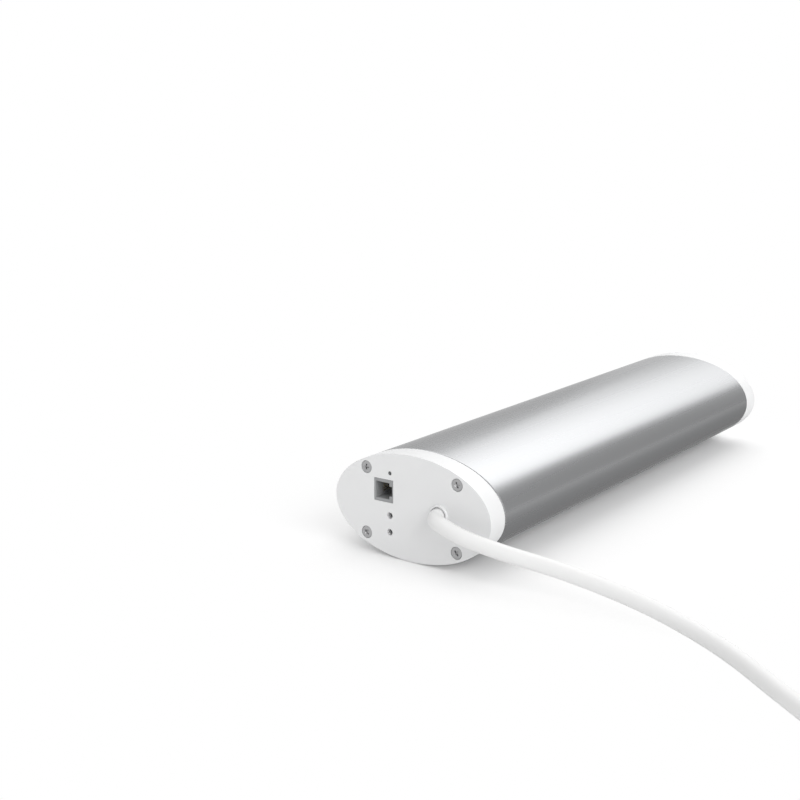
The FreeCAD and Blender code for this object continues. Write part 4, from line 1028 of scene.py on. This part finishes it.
def levelTurned(direction, degrees, rise=0.0):
    flat = Matrix.Rotation(math.radians(degrees), 3, "Z") @ Vector((direction.x, direction.y, 0))
    flat.z = rise
    return flat.normalized()


def leadPoints(s):
    wholeTurns = s["turnsIn"] + s["turnsClimbing"] + s["turnsOut"]
    nudge = 0.001  # of a turn, to read a direction
    firstDirection = (coilPoint(nudge) - coilPoint(0)).normalized()
    lastDirection = (coilPoint(wholeTurns) - coilPoint(wholeTurns - nudge)).normalized()
    coilStart = coilPoint(0) - firstDirection * s["lead"]
    coilEnd = coilPoint(wholeTurns) + lastDirection * s["lead"]
    points = [Vector(place) for place in s["route"]]
    points += [coilStart - firstDirection * s["lastRun"], coilStart]
    count = round(wholeTurns * s["pointsPerTurn"])
    points += [coilPoint(wholeTurns * step / count) for step in range(count + 1)]
    first, middle, last = s["tailRuns"]
    rise = s["plugAxisHeight"] - coilEnd.z
    slope = rise / math.sqrt(middle ** 2 - rise ** 2)
    points += [coilEnd, coilEnd + lastDirection * first]
    points.append(points[-1] + levelTurned(lastDirection, s["tailTurn"], slope) * middle)
    plugDirection = levelTurned(lastDirection, 2 * s["tailTurn"])
    points.append(points[-1] + plugDirection * last)
    return points, plugDirection


def makeLead(s, points):
    places = [place * mm for place in points]
    curve = nurbsCurve("mainsLead", places, s["diameter"] / 2, resolution=8, sides=6)
    curve.materials.append(finishes["cord_white"])
    lead = bpy.data.objects.new("mainsLead", curve)
    scene.collection.objects.link(lead)
    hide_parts("supply_cord", "cord_coil", "cord_tail")
    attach(lead, mainBody)
    return lead


routePoints, plugDirection = leadPoints(leadSetup)
mainsLead = makeLead(leadSetup, routePoints)
print("mains lead:", len(routePoints), "points")


# --- plug: modelled along +Y from the end of the lead, then turned and moved to it
plugSetup = {
    "reliefLength": 24.0 * mm,
    "reliefBore": 3.7 * mm,
    "reliefRear": 4.6 * mm,
    "reliefFront": 7.0 * mm,
    "reliefRibs": 5,
    "ribsFrom": 2.0 * mm,
    "plainLength": 3.0 * mm,  # what the ribs leave free at both ends together
    "ribDepth": 0.9 * mm,
    "ribPoints": (0.12, 0.3, 0.42, 0.5, 0.62, 0.8, 0.92, 1.0),
    "frontGap": 0.02 * mm,
    "bodyLength": 34.0 * mm,
    "pinRadius": 2.4 * mm,
    "pinWaist": (0.97, 0.3 * mm),  # share of the radius, and where it begins
    "pinRound": 1.4 * mm,
    "pinRoundSteps": 8,
    "pinSides": 32,
    "pinLength": 19.0 * mm,
    "pinSpacing": 19.0 * mm,
}
plugPlace = Matrix.Translation(routePoints[-1] * mm) @ Matrix.Rotation(
    math.atan2(plugDirection.y, plugDirection.x) - math.pi / 2, 4, "Z"
)


def reliefMesh(s):
    profile = [(s["reliefBore"], 0.0), (s["reliefRear"], 0.0)]
    pitch = (s["reliefLength"] - s["plainLength"]) / s["reliefRibs"]
    for rib in range(s["reliefRibs"]):
        for share in s["ribPoints"]:
            y = s["ribsFrom"] + pitch * (rib + share)
            taper = s["reliefRear"] + (s["reliefFront"] - s["reliefRear"]) * y / s["reliefLength"]
            groove = s["ribDepth"] * max(0.0, math.cos(math.pi * (share - 0.5))) ** 2
            profile.append((taper - groove, y))
    front = s["reliefLength"] - s["frontGap"]
    profile += [(s["reliefFront"], front), (0.0, front)]
    return latheMesh("plugRelief", profile)


plugRelief = reliefMesh(plugSetup)
plugRelief.transform(plugPlace)
reliefPiece = addPiece("plugRelief", plugRelief, mainBody, "plug_white", ["plug_strain_relief"], 50.0)
plugShell = addRounded("plugShell", "plug_body", mainBody, "plug_white")


def pinMesh(s):
    front = s["reliefLength"] + s["bodyLength"]
    end = front + s["pinLength"]
    waist, waistStart = s["pinWaist"]
    profile = [(0.0, front), (s["pinRadius"], front), (s["pinRadius"] * waist, front + waistStart)]
    flat, roundStart = s["pinRadius"] - s["pinRound"], end - s["pinRound"]
    for step in range(s["pinRoundSteps"] + 1):
        angle = math.pi / 2 * step / s["pinRoundSteps"]
        out, forward = s["pinRound"] * math.cos(angle), s["pinRound"] * math.sin(angle)
        profile.append((flat + out, roundStart + forward))
    profile.append((0.0, end))
    return latheMesh("plugPin", profile, s["pinSides"], (s["pinSpacing"] / 2, 0.0))


plugPins = pinMesh(plugSetup)
pinPair = bmesh.new()
pinPair.from_mesh(plugPins)
plugPins.transform(Matrix.Translation((-plugSetup["pinSpacing"], 0, 0)))
pinPair.from_mesh(plugPins)
pinPair.to_mesh(plugPins)
pinPair.free()
plugPins.transform(plugPlace)
pinPiece = addPiece("plugPins", plugPins, mainBody, "pin_nickel", ["plug_pins"])
clipPiece = addRounded("plugClips", "plug_earth_clips", mainBody, "pin_nickel")
print("plug")


# --- floor and light
stageSetup = {
    "floorReach": 14.0,
    "floorLevel": -0.0002,
    "floorTone": (0.95, 0.95, 0.95),
    "fadeFrom": 0.0,  # distance from the unit's axis at which the floor starts to turn into plain white
    "fadeTo": 0.15,
    "frontHaste": 3.0,  # how much sooner it does so beyond the two ends
    "coilMiddle": (0.308, -0.155),  # the coil and the plug keep their shadow too
    "coilReach": (0.078, 0.125),
    "coilFade": (0.85, 1.3),  # in reaches
    "skyLight": 0.62,
    "unitHalfLength": 0.15,
}


def planeMesh(name, corners):
    mesh = bpy.data.meshes.new(name)
    mesh.from_pydata(corners, [], [tuple(range(len(corners)))])
    return mesh


def seenDirectly(tree):
    path = tree.nodes.new("ShaderNodeLightPath")
    mirrored = addMath(tree, "MAXIMUM", path.outputs["Is Camera Ray"], path.outputs["Is Glossy Ray"])
    return addMath(tree, "MAXIMUM", mirrored, path.outputs["Is Transmission Ray"])


def planDistance(tree, x, y):
    squares = [addMath(tree, "POWER", addMath(tree, "ABSOLUTE", side), 2.0) for side in (x, y)]
    return addMath(tree, "SQRT", addMath(tree, "ADD", *squares))


def placeAxes(tree):
    place = tree.nodes.new("ShaderNodeTexCoord")
    split = tree.nodes.new("ShaderNodeSeparateXYZ")
    tree.links.new(place.outputs["Object"], split.inputs[0])
    return split.outputs


reach, level = stageSetup["floorReach"], stageSetup["floorLevel"]
floorCorners = [(x * reach, y * reach, level) for x, y in ((-1, -1), (1, -1), (1, 1), (-1, 1))]
floor = linkedWorker("floor", planeMesh("floor", floorCorners))
floorMaterial = bpy.data.materials.new("paleFloor")
floorMaterial.use_nodes = True
tree = floorMaterial.node_tree
tree.nodes.clear()
output = tree.nodes.new("ShaderNodeOutputMaterial")
matt = tree.nodes.new("ShaderNodeBsdfDiffuse")
matt.inputs["Color"].default_value = (*stageSetup["floorTone"], 1.0)
plain = tree.nodes.new("ShaderNodeEmission")
plain.inputs["Color"].default_value = (1.0, 1.0, 1.0, 1.0)
axes = placeAxes(tree)
beyond = addMath(tree, "SUBTRACT", addMath(tree, "ABSOLUTE", axes["Y"]), stageSetup["unitHalfLength"])
beyond = addMath(tree, "MULTIPLY", addMath(tree, "MAXIMUM", beyond, 0.0), stageSetup["frontHaste"])
distance = planDistance(tree, axes["X"], beyond)
unitFade = addRange(tree, distance, stageSetup["fadeFrom"], stageSetup["fadeTo"], 0.0, 1.0, True)
fromCoil = []
for axis, middle, span in zip("XY", stageSetup["coilMiddle"], stageSetup["coilReach"]):
    fromCoil.append(addMath(tree, "DIVIDE", addMath(tree, "SUBTRACT", axes[axis], middle), span))
coilFade = addRange(tree, planDistance(tree, *fromCoil), *stageSetup["coilFade"], 0.0, 1.0, True)
fade = addMath(tree, "MINIMUM", unitFade, coilFade)
share = addMath(tree, "MULTIPLY", fade, seenDirectly(tree))
mix = tree.nodes.new("ShaderNodeMixShader")
tree.links.new(share, mix.inputs[0])
tree.links.new(matt.outputs[0], mix.inputs[1])
tree.links.new(plain.outputs[0], mix.inputs[2])
tree.links.new(mix.outputs[0], output.inputs["Surface"])
floor.data.materials.append(floorMaterial)

world = bpy.data.worlds.new("paleWorld")
scene.world = world
world.use_nodes = True
tree = world.node_tree
tree.nodes.clear()
output = tree.nodes.new("ShaderNodeOutputWorld")
skyLight = tree.nodes.new("ShaderNodeBackground")
skyLight.inputs["Color"].default_value = (1.0, 1.0, 1.0, 1.0)
skyLight.inputs["Strength"].default_value = stageSetup["skyLight"]
backdrop = tree.nodes.new("ShaderNodeBackground")
backdrop.inputs["Color"].default_value = (1.0, 1.0, 1.0, 1.0)
mix = tree.nodes.new("ShaderNodeMixShader")
tree.links.new(seenDirectly(tree), mix.inputs[0])
tree.links.new(skyLight.outputs[0], mix.inputs[1])
tree.links.new(backdrop.outputs[0], mix.inputs[2])
tree.links.new(mix.outputs[0], output.inputs["Surface"])

lamps = {  # place, point it faces, width, depth, power
    "softboxAbove": ((-0.24, 0.80, 1.1615), (-0.24, 0.265, 0.1615), 1.32, 2.50, 11.0),
    "keyLeft": ((-0.9, -1.35, 1.0), (0.0, -0.05, 0.03), 1.2, 1.2, 1.0),
    "fillRight": ((2.15, -1.05, 1.22), (0.1, -0.08, 0.03), 1.6, 1.6, 32.0),
}
for lampName, (position, aim, width, depth, power) in lamps.items():
    lampData = bpy.data.lights.new(lampName, "AREA")
    lampData.shape = "RECTANGLE"
    lampData.size = width
    lampData.size_y = depth
    lampData.energy = power
    lamp = bpy.data.objects.new(lampName, lampData)
    lamp.location = position
    lamp.rotation_euler = (Vector(aim) - Vector(position)).to_track_quat("-Z", "Y").to_euler()
    scene.collection.objects.link(lamp)

cards = {  # cards that only the shine of the metal sees; a fade is from, to, and its tone there
    "cardBehind": {
        "corners": [(0.30, 0.92, 0.0), (0.84, 0.45, 0.0), (0.84, 0.45, 0.62), (0.30, 0.92, 0.62)],
        "tone": 0.52,
    },
    # painted shade in the reflection: a dim glowing sheet on the floor beside the tube, darkest next to it,
    # that the metal mirrors in place of the shaded floor
    "cardOnFloor": {
        "corners": [(0.03, -0.20, 0.0006), (1.2, -0.20, 0.0006), (1.2, 1.2, 0.0006), (0.03, 1.2, 0.0006)],
        "alongX": (0.035, 0.16, 0.44, 0.67),
    },
    "cardLeft": {
        "corners": [(-0.62, 1.10, 0.0), (-1.3, 0.2, 0.0), (-1.3, 0.2, 0.42), (-0.62, 1.10, 0.42)],
        "tone": 0.8,
    },
    "cardAbove": {
        "corners": [(-1.1, 2.22, 0.60), (0.42, 2.22, 0.60), (0.42, -0.2, 1.90), (-1.1, -0.2, 1.90)],
        "alongX": (-1.0, -0.2, 0.55, 1.0),
        "alongY": (1.20, 2.0, 1.45, 0.98),
    },
}


def cardTree(name):
    material = bpy.data.materials.new(name + "Tone")
    material.use_nodes = True
    tree = material.node_tree
    tree.nodes.clear()
    glow = tree.nodes.new("ShaderNodeEmission")
    tree.links.new(glow.outputs[0], tree.nodes.new("ShaderNodeOutputMaterial").inputs["Surface"])
    return material, tree, glow


for cardName, s in cards.items():
    card = linkedWorker(cardName, planeMesh(cardName, s["corners"]))
    cardMaterial, tree, glow = cardTree(cardName)
    strength = s.get("tone")
    for axis in "XY":
        if "along" + axis in s:
            fade = addRange(tree, placeAxes(tree)[axis], *s["along" + axis], True)
            strength = fade if strength is None else addMath(tree, "MULTIPLY", strength, fade)
    feed(tree, glow.inputs["Strength"], strength)
    card.data.materials.append(cardMaterial)
    for ray in ("visible_camera", "visible_diffuse", "visible_transmission", "visible_shadow"):
        setattr(card, ray, False)
print("floor and light")
